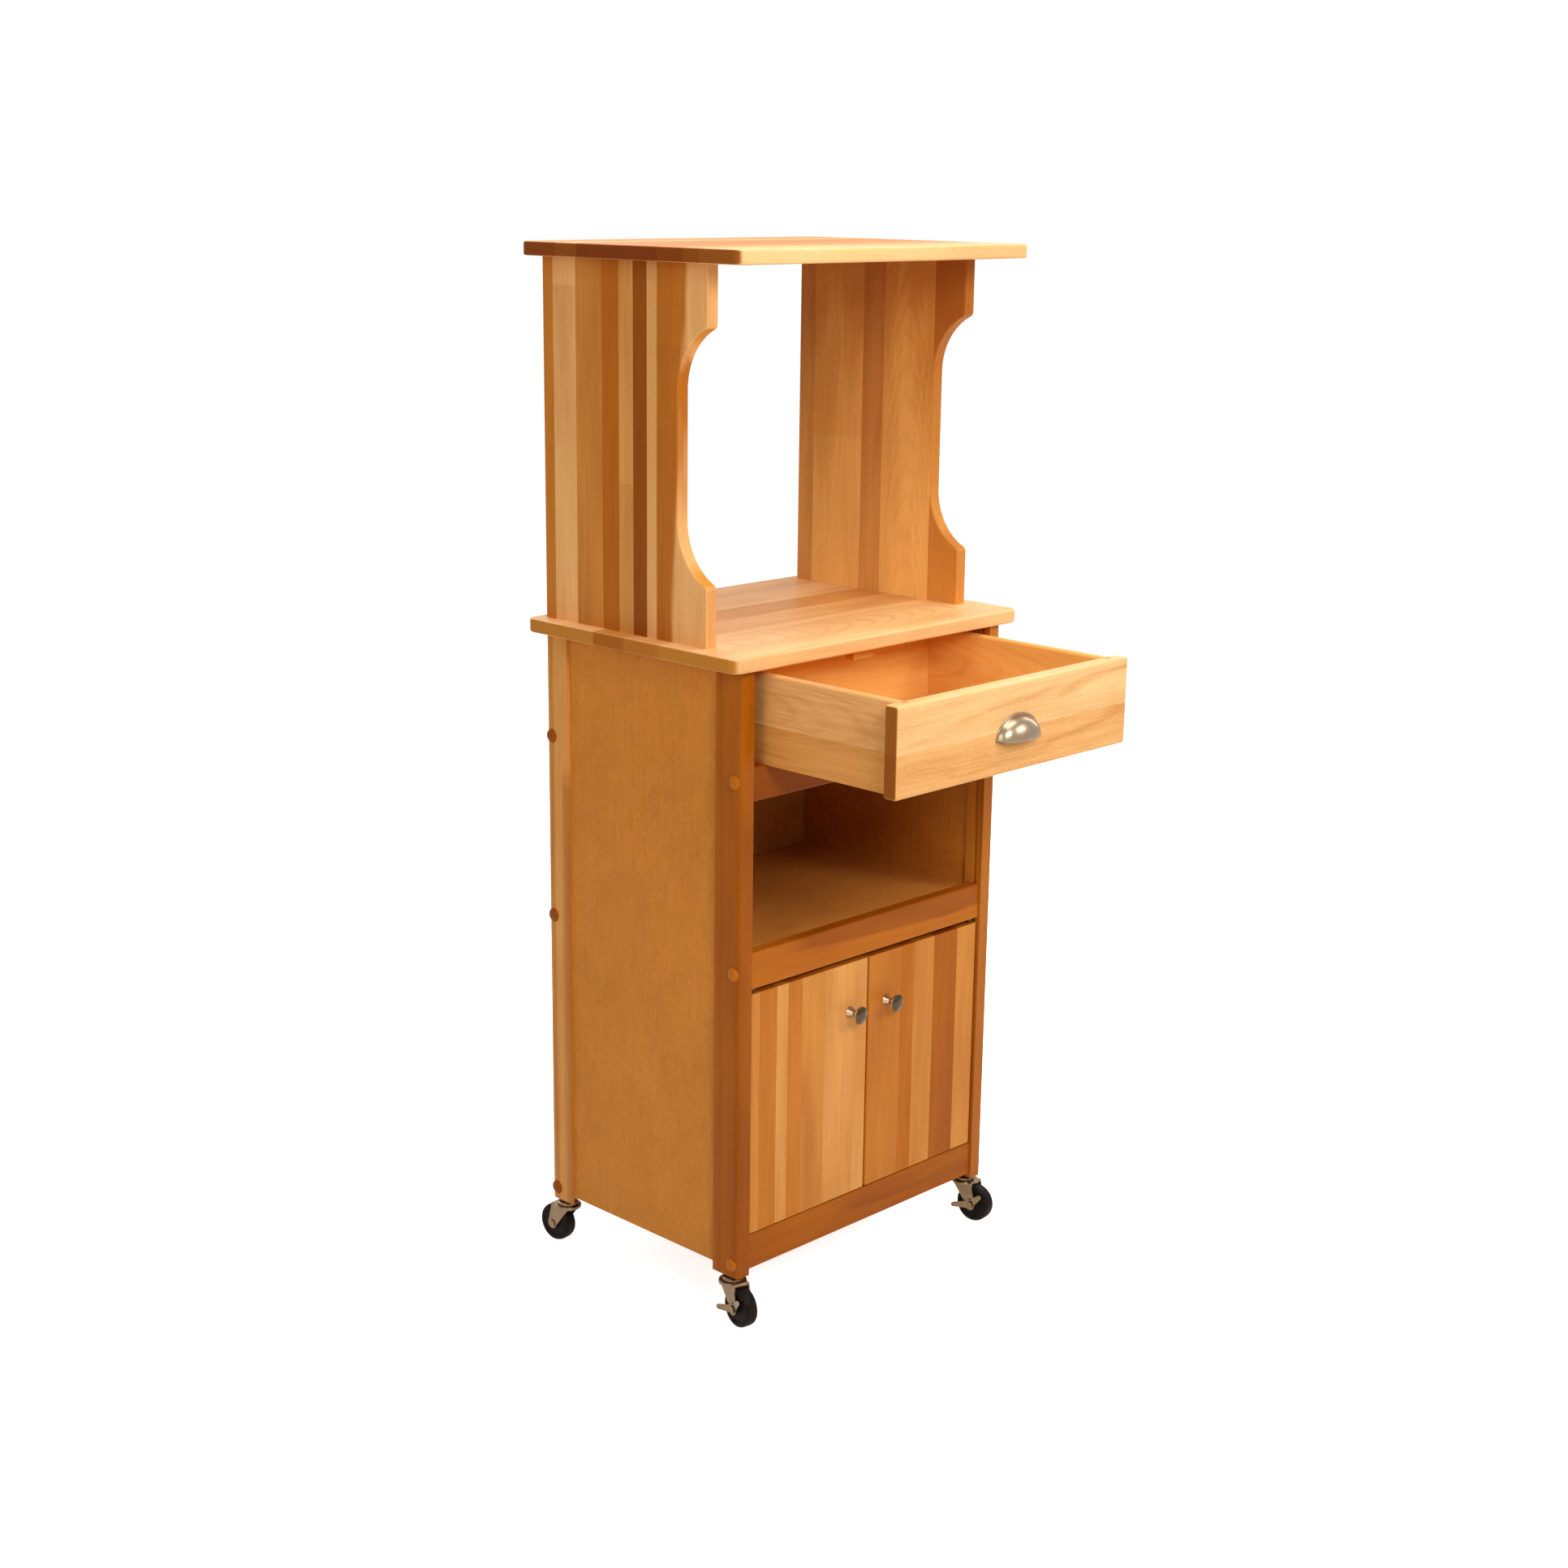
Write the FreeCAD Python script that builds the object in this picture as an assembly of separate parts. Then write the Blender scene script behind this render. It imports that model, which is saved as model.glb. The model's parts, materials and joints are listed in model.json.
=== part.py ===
import FreeCAD, Part
import math
import os

from FreeCAD import Vector

# Microwave stand: a cabinet on four castors with a drawer, an open bay and two doors,
# and a two-sided hutch above the counter. Millimetres, +Z up, front towards -Y.
# Shapes are laid out about the middle of the cabinet and moved to the part's own origin when saved.

# ---------------------------------------------------------------- driving dimensions
# Carcass
cabinet_width = 513.0
cabinet_depth = 383.3
caster_height = 69.2
post_length = 840.7
post_width = 22.4
front_post_depth = 48.0
rear_post_depth = 41.5
post_lip = 5.5
panel_overlap = 17.3
post_corner_radius = 5.0
side_panel_thickness = 12.0
panel_foot_gap = 9.3
back_panel_thickness = 4.0
glue_gap = 0.2
edge_round = 2.5

# Rails between the posts
rail_thickness = 18.0
rail_height = 51.0
drawer_rail_height = 46.5
rail_setback = 3.5
rear_rail_setback = 1.0
drawer_opening_height = 129.4
shelf_rail_rise = 408.3
bottom_rail_rise = 5.8
groove_width = 6.2
groove_depth = 5.0
tongue_thickness = 6.0
tongue_length = 4.5

# Shelf, floor and the strips that carry them
board_ply = 12.0
shelf_lip = 9.0
cleat_size = 18.0

# Counter and hutch
counter_thickness = 19.0
counter_side_overhang = 24.7
counter_end_overhang = 14.0
board_corner_radius = 16.0
board_edge_round = 3.0
top_thickness = 18.8
top_side_overhang = 21.9
top_front_overhang = 13.2
top_rear_overhang = 19.7
hutch_side_thickness = 19.0
hutch_side_height = 482.4
hutch_rear_setback = 2.9
hutch_depth = 313.5
hutch_waist = 53.5
hutch_curve_radius = 85.0
hutch_ear_height = 79.3
hutch_corner_radius = 8.0
hutch_edge_round = 2.0

# Dowels
dowel_diameter = 8.0
dowel_length = 38.0
dowel_in_board = 11.0
dowel_edge_distance = 32.0
dowel_clearance = 0.05

# Screws through the posts and the domed caps over them
screw_diameter = 3.8
screw_head_diameter = 8.0
screw_head_height = 3.0
screw_length = 45.0
screw_clearance = 0.1
cap_diameter = 19.5
cap_dome_height = 4.0
cap_plug_diameter = 9.6
cap_plug_length = 4.0
counterbore_diameter = 9.8
counterbore_depth = 7.5
drawer_rail_screw_drop = 17.6
bottom_screw_rise = 12.0

# Drawer
drawer_rest_opening = 244.5
drawer_side_gap = 1.65
drawer_front_thickness = 19.3
drawer_front_clearance = 1.0
drawer_front_top_gap = 10.6
drawer_front_round = 4.0
drawer_board_thickness = 13.0
drawer_side_inset = 21.0
drawer_side_top_gap = 9.6
drawer_side_top_round = 4.0
drawer_joint_depth = 6.0
drawer_joint_gap = 0.15
drawer_bottom_thickness = 4.0
drawer_bottom_rise = 8.0
drawer_bottom_inlet = 4.0
drawer_running_gap = 0.35
guide_side_gap = 1.2
guide_ledge_width = 18.0
guide_ledge_height = 18.0
guide_fence_height = 32.0
guide_stop_height = 26.0
guide_stop_length = 19.1
drawer_stop_gap = 1.0
stop_block_width = 40.0
stop_block_depth = 15.0
stop_block_drop = 21.0
stop_block_setback = 23.0

# Cup pull
pull_width = 87.0
pull_height = 33.0
pull_projection = 22.0
pull_rim = 3.0
pull_rim_thickness = 1.8
pull_wall = 1.6
pull_drop = 15.0
pull_screw_spacing = 54.0
pull_screw_rise = 10.0
pull_boss_diameter = 8.0
pull_screw_diameter = 4.0
pull_screw_head_diameter = 8.0
pull_screw_head_height = 2.6

# Doors
door_thickness = 18.0
door_side_gap = 2.5
door_middle_gap = 3.0
door_top_gap = 6.5
door_bottom_gap = 2.0
door_edge_round = 3.0
pivot_inset = 9.5
pivot_setback = 7.5
pivot_pin_diameter = 5.0
pivot_running_gap = 0.08
pivot_pin_in_door = 18.0
pivot_pin_in_rail = 9.0
bush_diameter = 8.0
bush_flange_diameter = 10.0
bush_flange_thickness = 1.6
bush_bottom_gap = 1.0
catch_width = 30.0
catch_depth = 12.0
catch_drop = 54.0
catch_side = 22.0
catch_plate_height = 14.0
catch_plate_thickness = 1.0
catch_air_gap = 0.5
catch_plate_top_gap = 3.0

# Knobs
knob_height_on_door = 271.5
knob_inset = 36.0
knob_base_diameter = 14.0
knob_neck_diameter = 9.0
knob_head_diameter = 26.0
knob_projection = 25.0
knob_head_thickness = 9.0
knob_rim_thickness = 3.5
knob_screw_diameter = 4.0
knob_screw_grip = 9.0

# Castors
caster_inset = 20.0
stem_diameter = 8.0
stem_length = 33.0
stem_collar_diameter = 16.0
stem_collar_height = 1.6
race_cap_diameter = 30.0
race_cap_top_diameter = 18.0
race_cap_height = 5.8
race_cap_rim_height = 3.1
kingpin_diameter = 8.0
kingpin_head_diameter = 13.0
kingpin_head_height = 3.0
swivel_gap = 0.4
running_gap = 0.08
fork_crown_diameter = 39.0
fork_crown_thickness = 4.6
fork_crown_round = 2.0
fork_leg_thickness = 2.2
fork_crown_reach = 20.8
fork_crown_back = 14.0
fork_boss_radius = 8.0
wheel_diameter = 55.0
wheel_width = 20.0
wheel_side_gap = 1.0
wheel_trail = 20.5
wheel_edge_round = 4.0
wheel_recess_depth = 1.5
wheel_recess_inner = 18.0
wheel_recess_outer = 41.0
axle_diameter = 8.0
axle_head_diameter = 11.0
axle_head_height = 1.5
lever_thickness = 1.6
lever_gap = 0.4
lever_shoulder_diameter = 9.0
lever_hub_radius = 8.5
lever_wing_length = 31.0
lever_wing_root_height = 12.0
lever_wing_tip_height = 7.0
lever_wing_rise_deg = 16.0
lever_wing_flare_deg = 13.0
lever_rest_tilt_deg = 27.0
caster_heading_deg = {"fl": 260.0, "fr": 275.0, "rl": 94.0, "rr": 80.0}

# ---------------------------------------------------------------- derived places
half_width = cabinet_width / 2
half_depth = cabinet_depth / 2
post_inner_x = half_width - post_width
panel_outer_x = half_width - post_lip
panel_inner_x = panel_outer_x - side_panel_thickness
post_foot_z = caster_height
counter_under_z = post_foot_z + post_length
counter_top_z = counter_under_z + counter_thickness
hutch_top_z = counter_top_z + hutch_side_height
top_face_z = hutch_top_z + top_thickness
panel_foot_z = post_foot_z + panel_foot_gap

front_post_inner_y = -half_depth + front_post_depth - panel_overlap
rear_post_inner_y = half_depth - rear_post_depth + panel_overlap
rail_front_y = -half_depth + rail_setback
rail_rear_y = rail_front_y + rail_thickness
rail_groove_y = rail_front_y + rail_thickness / 2
rear_rail_rear_y = half_depth - rear_rail_setback
rear_rail_front_y = rear_rail_rear_y - rail_thickness
rear_groove_y = rear_rail_front_y + rail_thickness / 2
back_panel_front_y = rear_rail_front_y - back_panel_thickness

drawer_rail_top_z = counter_under_z - drawer_opening_height
drawer_rail_z = drawer_rail_top_z - drawer_rail_height
shelf_rail_z = post_foot_z + shelf_rail_rise
shelf_rail_top_z = shelf_rail_z + rail_height
bottom_rail_z = post_foot_z + bottom_rail_rise
bottom_rail_top_z = bottom_rail_z + rail_height
shelf_top_z = shelf_rail_top_z - shelf_lip
shelf_under_z = shelf_top_z - board_ply
floor_top_z = bottom_rail_top_z - shelf_lip
floor_under_z = floor_top_z - board_ply

drawer_half_width = post_inner_x - drawer_side_gap
drawer_front_y = rail_front_y - drawer_rest_opening
drawer_front_back_y = drawer_front_y + drawer_front_thickness
drawer_front_z = drawer_rail_top_z + drawer_front_clearance
drawer_front_height = counter_under_z - drawer_front_top_gap - drawer_front_z
drawer_side_outer_x = drawer_half_width - drawer_side_inset
drawer_side_inner_x = drawer_side_outer_x - drawer_board_thickness
guide_rear_y = rear_post_inner_y - glue_gap
drawer_closed_rear_y = guide_rear_y - guide_stop_length - drawer_stop_gap
drawer_rear_y = drawer_closed_rear_y - drawer_rest_opening
drawer_back_y = drawer_rear_y - drawer_board_thickness
drawer_box_z = drawer_rail_top_z + drawer_running_gap
drawer_side_height = counter_under_z - drawer_side_top_gap - drawer_box_z
drawer_panel_z = drawer_box_z + drawer_bottom_rise

door_outer_x = post_inner_x - door_side_gap
door_inner_x = door_middle_gap / 2
door_front_y = rail_front_y
door_rear_y = door_front_y + door_thickness
door_foot_z = bottom_rail_top_z + door_bottom_gap
door_top_z = shelf_rail_z - door_top_gap
pivot_x = door_outer_x - pivot_inset
pivot_y = door_front_y + pivot_setback
knob_x = door_inner_x + knob_inset
knob_z = door_foot_z + knob_height_on_door

pull_z = drawer_front_z + drawer_front_height / 2 - pull_drop
top_rear_y = half_depth + top_rear_overhang
front_most_y = drawer_front_y - pull_projection

axle_z = wheel_diameter / 2
stem_x = half_width - post_width / 2
stem_y = half_depth - caster_inset
leg_inner_y = wheel_width / 2 + wheel_side_gap
leg_outer_y = leg_inner_y + fork_leg_thickness
race_cap_top_z = caster_height - stem_collar_height
race_cap_foot_z = race_cap_top_z - race_cap_height
crown_top_z = race_cap_foot_z - swivel_gap
crown_under_z = crown_top_z - fork_crown_thickness
kingpin_head_top_z = crown_under_z - swivel_gap
caster_places = {
    "fl": (-stem_x, -stem_y),
    "fr": (stem_x, -stem_y),
    "rl": (-stem_x, stem_y),
    "rr": (stem_x, stem_y),
}


def wheel_rear_y(corner):
    """How far back the wheel at a corner reaches."""
    heading = math.radians(caster_heading_deg[corner])
    flat_radius = wheel_diameter / 2 - wheel_edge_round
    flat_half = wheel_width / 2 - wheel_edge_round
    spread = flat_radius * abs(math.sin(heading)) + flat_half * abs(math.cos(heading))
    return caster_places[corner][1] + wheel_trail * math.sin(heading) + spread + wheel_edge_round


rear_most_y = max([top_rear_y] + [wheel_rear_y(corner) for corner in caster_places])
frame_shift = Vector(0, -(rear_most_y + front_most_y) / 2, 0)


# ---------------------------------------------------------------- helpers
def block(x0, x1, y0, y1, z0, z1):
    """A box between two corners."""
    return Part.makeBox(x1 - x0, y1 - y0, z1 - z0, Vector(x0, y0, z0))


def rod(radius, start, along, length):
    """A cylinder from a start point along a direction."""
    return Part.makeCylinder(radius, length, Vector(*start), Vector(*along))


def mirrored(shape):
    """The left-hand twin of a right-hand shape."""
    return shape.mirror(Vector(0, 0, 0), Vector(1, 0, 0))


def both_sides(shape):
    """A right-hand shape with its left-hand twin, as two solids."""
    return [shape, mirrored(shape)]


def group(shapes):
    """Several separate solids in one shape."""
    return Part.makeCompound(shapes)


def straight_edges(shape, axis, wanted):
    """Edges parallel to an axis (0, 1, 2) whose middle point passes the test."""
    chosen = []
    for edge in shape.Edges:
        if edge.Curve.TypeId != "Part::GeomLine":
            continue
        ends = [vertex.Point for vertex in edge.Vertexes]
        run = ends[1] - ends[0]
        if abs(abs(run[axis]) - run.Length) > 1e-6:
            continue
        if wanted((ends[0] + ends[1]) * 0.5):
            chosen.append(edge)
    return chosen


def rounded(shape, radius, axis, wanted):
    """The shape with its chosen straight edges rounded."""
    return shape.makeFillet(radius, straight_edges(shape, axis, wanted))


def lathe(profile, start, along):
    """A turned solid: profile is (radius, distance) pairs, run from start along a direction."""
    points = [Vector(radius, 0, height) for radius, height in profile]
    points.append(points[0])
    face = Part.Face(Part.makePolygon(points))
    turned = face.revolve(Vector(0, 0, 0), Vector(0, 0, 1), 360)
    turn = FreeCAD.Rotation(Vector(0, 0, 1), Vector(*along))
    turned.Placement = FreeCAD.Placement(Vector(*start), turn)
    return turned


def save(name, shape):
    """Write one node in the part's own frame."""
    moved = shape.copy()
    moved.translate(frame_shift)
    moved.exportStep("parts/" + name + ".step")


# ---------------------------------------------------------------- fasteners
def screw_row():
    """Places of the screws that tie a right-hand post to its rail ends: (y, z)."""
    heights = [
        drawer_rail_top_z - drawer_rail_screw_drop,
        shelf_rail_z + rail_height / 2,
        bottom_rail_z + bottom_screw_rise,
    ]
    return [(y, z) for y in (rail_groove_y, rear_groove_y) for z in heights]


def post_screw(y, z):
    """One screw, its head at the foot of the counterbore and its shank in the rail's end."""
    seat_x = half_width - counterbore_depth
    head = rod(screw_head_diameter / 2, (seat_x, y, z), (1, 0, 0), screw_head_height)
    shank = rod(screw_diameter / 2, (seat_x, y, z), (-1, 0, 0), screw_length)
    return head.fuse(shank).removeSplitter()


def button_cap(y, z):
    """One domed cap with the plug that fills the mouth of the counterbore."""
    profile = [
        (0, -cap_plug_length),
        (cap_plug_diameter / 2, -cap_plug_length),
        (cap_plug_diameter / 2, 0),
        (cap_diameter / 2, 0),
        (cap_diameter / 2, cap_dome_height * 0.25),
        (cap_diameter * 0.44, cap_dome_height * 0.55),
        (cap_diameter * 0.34, cap_dome_height * 0.8),
        (cap_diameter * 0.18, cap_dome_height * 0.96),
        (0, cap_dome_height),
    ]
    return lathe(profile, (half_width, y, z), (1, 0, 0))


def screw_bores(y, z):
    """The counterbore and the clearance bore of one post screw, through post and rail end."""
    mouth = rod(counterbore_diameter / 2, (half_width + 1, y, z), (-1, 0, 0), counterbore_depth + 1)
    reach = counterbore_depth + screw_length + 1
    bore = rod(screw_diameter / 2 + screw_clearance, (half_width, y, z), (-1, 0, 0), reach)
    return [mouth, bore]


def dowel(x, y, seat_z, up):
    """A dowel that crosses a seam at seat_z, its short end going up (1) or down (-1) into a board."""
    foot = seat_z - (dowel_length - dowel_in_board) if up > 0 else seat_z - dowel_in_board
    return rod(dowel_diameter / 2, (x, y, foot), (0, 0, 1), dowel_length)


def dowel_bore(x, y, seat_z, up):
    """The hole for that dowel, a little longer and wider than the dowel."""
    foot = seat_z - (dowel_length - dowel_in_board) if up > 0 else seat_z - dowel_in_board
    spare = 0.5
    radius = dowel_diameter / 2 + dowel_clearance
    return rod(radius, (x, y, foot - spare), (0, 0, 1), dowel_length + 2 * spare)


def dowel_seams():
    """Every dowel on the right-hand side: (x, y, seam height, direction of its short end)."""
    hutch_x = half_width - hutch_side_thickness / 2
    hutch_front_y = half_depth - hutch_rear_setback - hutch_depth + dowel_edge_distance
    hutch_rear_y = half_depth - hutch_rear_setback - dowel_edge_distance
    seams = []
    for y in (hutch_front_y, hutch_rear_y):
        seams.append((hutch_x, y, counter_top_z, -1))
        seams.append((hutch_x, y, hutch_top_z, 1))
    for y in (-stem_y, stem_y):
        seams.append((stem_x, y, counter_under_z, 1))
    return seams


# ---------------------------------------------------------------- carcass
def corner_post(front):
    """A right-hand post: rebated behind for the side panel, grooved for the rails' tongues."""
    depth = front_post_depth if front else rear_post_depth
    side = -1 if front else 1
    outer_y = side * half_depth
    inner_y = outer_y - side * depth
    post = block(post_inner_x, half_width, min(outer_y, inner_y), max(outer_y, inner_y),
                 post_foot_z, counter_under_z)
    post = rounded(post, post_corner_radius, 2,
                   lambda p: p.x > half_width - 1 and abs(p.y - outer_y) < 1)
    step_y = inner_y + side * panel_overlap
    rebate = block(post_inner_x - 1, panel_outer_x, min(step_y, inner_y - side),
                   max(step_y, inner_y - side), post_foot_z - 1, counter_under_z + 1)
    groove_y = rail_groove_y if front else rear_groove_y
    groove = block(post_inner_x - 1, post_inner_x + groove_depth, groove_y - groove_width / 2,
                   groove_y + groove_width / 2, post_foot_z - 1, counter_under_z + 1)
    cuts = [rebate, groove]
    for y, z in screw_row():
        if (y < 0) == front:
            cuts += screw_bores(y, z)
    stem_radius = stem_diameter / 2 + dowel_clearance
    cuts.append(rod(stem_radius, (stem_x, side * stem_y, post_foot_z - 1), (0, 0, 1), stem_length + 2))
    cuts.append(dowel_bore(stem_x, side * stem_y, counter_under_z, 1))
    return post.cut(cuts)


def side_panel():
    """The right-hand plywood side, let in behind the lips of its two posts."""
    return block(panel_inner_x, panel_outer_x, front_post_inner_y + glue_gap,
                 rear_post_inner_y - glue_gap, panel_foot_z, counter_under_z)


def front_rail(foot_z, height):
    """A rail between the front posts, tongued into their grooves, its front edges eased."""
    rail = block(-post_inner_x, post_inner_x, rail_front_y, rail_rear_y, foot_z, foot_z + height)
    rail = rounded(rail, edge_round, 0, lambda p: p.y < rail_front_y + 1)
    reach = post_inner_x + tongue_length
    tongue = block(-reach, reach, rail_groove_y - tongue_thickness / 2,
                   rail_groove_y + tongue_thickness / 2, foot_z + edge_round,
                   foot_z + height - edge_round)
    return rail.fuse(tongue).cut(rail_screw_bores(rail_groove_y))


def rear_rail(foot_z, height):
    """A rail between the rear posts, behind the back panel."""
    rail = block(-post_inner_x, post_inner_x, rear_rail_front_y, rear_rail_rear_y,
                 foot_z, foot_z + height)
    reach = post_inner_x + tongue_length
    tongue = block(-reach, reach, rear_groove_y - tongue_thickness / 2,
                   rear_groove_y + tongue_thickness / 2, foot_z + edge_round,
                   foot_z + height - edge_round)
    return rail.fuse(tongue).cut(rail_screw_bores(rear_groove_y))


def rail_screw_bores(rail_y):
    """Screw bores at both ends of the rails that lie at one depth."""
    bores = []
    for y, z in screw_row():
        if y == rail_y:
            bores += both_sides(screw_bores(y, z)[1])
    return bores


def inner_board(top_z):
    """The shelf or floor board, notched round the front posts."""
    reach = panel_inner_x - glue_gap
    board = block(-reach, reach, rail_rear_y, rear_post_inner_y - glue_gap, top_z - board_ply, top_z)
    notch = block(post_inner_x - glue_gap, reach + 1, rail_rear_y - 1,
                  front_post_inner_y + glue_gap, top_z - board_ply - 1, top_z + 1)
    return board.cut(both_sides(notch))


def cleat(top_z):
    """A right-hand strip on the side panel that carries a board lying on it at top_z."""
    return block(panel_inner_x - cleat_size, panel_inner_x, front_post_inner_y + glue_gap,
                 rear_post_inner_y - glue_gap, top_z - cleat_size, top_z)


def drawer_guide():
    """The right-hand runner: a ledge, a fence beside the drawer and a stop behind it."""
    fence_x = drawer_side_outer_x + guide_side_gap
    ledge_x = fence_x - guide_ledge_width
    front_y = front_post_inner_y + glue_gap
    ledge = block(ledge_x, panel_inner_x, front_y, guide_rear_y,
                  drawer_rail_top_z - guide_ledge_height, drawer_rail_top_z)
    fence = block(fence_x, panel_inner_x, front_y, guide_rear_y, drawer_rail_top_z,
                  drawer_rail_top_z + guide_fence_height)
    stop = block(ledge_x, fence_x, guide_rear_y - guide_stop_length, guide_rear_y,
                 drawer_rail_top_z, drawer_rail_top_z + guide_stop_height)
    return ledge.fuse([fence, stop]).removeSplitter()


def drawer_stop_block():
    """The block under the counter that catches the drawer's back at full opening."""
    front_y = rail_front_y + stop_block_setback
    return block(-stop_block_width / 2, stop_block_width / 2, front_y,
                 front_y + stop_block_depth, counter_under_z - stop_block_drop, counter_under_z)


# ---------------------------------------------------------------- counter and hutch
def board(x_reach, y0, y1, foot_z, thickness):
    """A top board with round corners and eased edges."""
    slab = block(-x_reach, x_reach, y0, y1, foot_z, foot_z + thickness)
    slab = rounded(slab, board_corner_radius, 2, lambda p: True)
    rim = []
    for edge in slab.Edges:
        flat = edge.BoundBox.ZLength < 1e-6
        if flat:
            rim.append(edge)
    return slab.makeFillet(board_edge_round, rim)


def counter_board():
    """The counter, bored for the dowels of the hutch above and of the posts below."""
    slab = board(half_width + counter_side_overhang, -half_depth - counter_end_overhang,
                 half_depth + counter_end_overhang, counter_under_z, counter_thickness)
    bores = []
    for x, y, z, up in dowel_seams():
        if z != hutch_top_z:
            bores += both_sides(dowel_bore(x, y, z, up))
    return slab.cut(bores)


def hutch_top_board():
    """The board over the hutch sides."""
    slab = board(half_width + top_side_overhang, -half_depth - top_front_overhang, top_rear_y,
                 hutch_top_z, top_thickness)
    bores = []
    for x, y, z, up in dowel_seams():
        if z == hutch_top_z:
            bores += both_sides(dowel_bore(x, y, z, up))
    return slab.cut(bores)


def hutch_side():
    """The right-hand hutch side: square ears top and bottom, a waist between two hollow curves."""
    rear_y = half_depth - hutch_rear_setback
    ear_y = rear_y - hutch_depth
    waist_y = ear_y + hutch_waist
    centre_y = waist_y - hutch_curve_radius
    rise = math.sqrt(hutch_curve_radius ** 2 - (ear_y - centre_y) ** 2)
    low_ear_z = counter_top_z + hutch_ear_height
    high_ear_z = hutch_top_z - hutch_ear_height
    low_centre_z = low_ear_z + rise
    high_centre_z = high_ear_z - rise
    x = half_width - hutch_side_thickness

    def point(y, z):
        return Vector(x, y, z)

    def curve_middle(centre_z, upward):
        start = math.atan2(rise, ear_y - centre_y) / 2
        return point(centre_y + hutch_curve_radius * math.cos(start),
                     centre_z + upward * hutch_curve_radius * math.sin(start))

    outline = [
        Part.makeLine(point(rear_y, counter_top_z), point(ear_y, counter_top_z)),
        Part.makeLine(point(ear_y, counter_top_z), point(ear_y, low_ear_z)),
        Part.Arc(point(ear_y, low_ear_z), curve_middle(low_centre_z, -1),
                 point(waist_y, low_centre_z)).toShape(),
        Part.makeLine(point(waist_y, low_centre_z), point(waist_y, high_centre_z)),
        Part.Arc(point(waist_y, high_centre_z), curve_middle(high_centre_z, 1),
                 point(ear_y, high_ear_z)).toShape(),
        Part.makeLine(point(ear_y, high_ear_z), point(ear_y, hutch_top_z)),
        Part.makeLine(point(ear_y, hutch_top_z), point(rear_y, hutch_top_z)),
        Part.makeLine(point(rear_y, hutch_top_z), point(rear_y, counter_top_z)),
    ]
    side = Part.Face(Part.Wire(outline)).extrude(Vector(hutch_side_thickness, 0, 0))
    side = rounded(side, hutch_corner_radius, 0,
                   lambda p: abs(p.y - ear_y) < 1 and counter_top_z + 1 < p.z < hutch_top_z - 1)
    front_edges = []
    for edge in side.Edges:
        box = edge.BoundBox
        across = box.XLength > 1e-6
        seam = box.ZLength < 1e-6
        if not across and not seam and box.YMax < waist_y + 1:
            front_edges.append(edge)
    side = side.makeFillet(hutch_edge_round, front_edges)
    bores = [dowel_bore(*seam) for seam in dowel_seams() if seam[0] != stem_x]
    return side.cut(bores)


# ---------------------------------------------------------------- drawer
def drawer_front():
    """The drawer front, grooved behind for the sides and for the bottom."""
    front = block(-drawer_half_width, drawer_half_width, drawer_front_y, drawer_front_back_y,
                  drawer_front_z, drawer_front_z + drawer_front_height)
    front = rounded(front, drawer_front_round, 0, lambda p: p.y < drawer_front_y + 1)
    front = rounded(front, drawer_front_round, 2, lambda p: p.y < drawer_front_y + drawer_front_round + 1)
    housing = block(drawer_side_inner_x - drawer_joint_gap, drawer_side_outer_x + drawer_joint_gap,
                    drawer_front_back_y - drawer_joint_depth, drawer_front_back_y + 1,
                    drawer_front_z - 1, drawer_box_z + drawer_side_height + drawer_joint_gap)
    inlet = block(-drawer_side_inner_x, drawer_side_inner_x,
                  drawer_front_back_y - drawer_bottom_inlet - drawer_joint_gap,
                  drawer_front_back_y + 1, drawer_panel_z - drawer_joint_gap,
                  drawer_panel_z + drawer_bottom_thickness + drawer_joint_gap)
    bores = [rod(pull_screw_diameter / 2 + screw_clearance, (x, drawer_front_y - 1, pull_z + pull_screw_rise),
                 (0, 1, 0), drawer_front_thickness + 2) for x in pull_screw_places()]
    return front.cut(both_sides(housing) + [inlet] + bores)


def drawer_side():
    """The right-hand drawer side, round along its top, let into the front."""
    start_y = drawer_front_back_y - drawer_joint_depth + drawer_joint_gap
    side = block(drawer_side_inner_x, drawer_side_outer_x, start_y, drawer_rear_y,
                 drawer_box_z, drawer_box_z + drawer_side_height)
    side = rounded(side, drawer_side_top_round, 1, lambda p: p.z > drawer_box_z + 1)
    housing = block(drawer_side_inner_x - 1, drawer_side_inner_x + drawer_bottom_inlet,
                    drawer_back_y - drawer_joint_gap, drawer_rear_y + 1,
                    drawer_box_z - 1, drawer_box_z + drawer_side_height + 1)
    inlet = block(drawer_side_inner_x - 1, drawer_side_inner_x + drawer_bottom_inlet,
                  start_y - 1, drawer_back_y, drawer_panel_z - drawer_joint_gap,
                  drawer_panel_z + drawer_bottom_thickness + drawer_joint_gap)
    return side.cut([housing, inlet])


def drawer_back():
    """The drawer's back, let into the sides."""
    reach = drawer_side_inner_x + drawer_bottom_inlet - drawer_joint_gap
    back = block(-reach, reach, drawer_back_y, drawer_rear_y, drawer_box_z,
                 drawer_box_z + drawer_side_height - drawer_side_top_round)
    inlet = block(-drawer_side_inner_x, drawer_side_inner_x, drawer_back_y - 1,
                  drawer_back_y + drawer_bottom_inlet + drawer_joint_gap,
                  drawer_panel_z - drawer_joint_gap,
                  drawer_panel_z + drawer_bottom_thickness + drawer_joint_gap)
    return back.cut(inlet)


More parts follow.
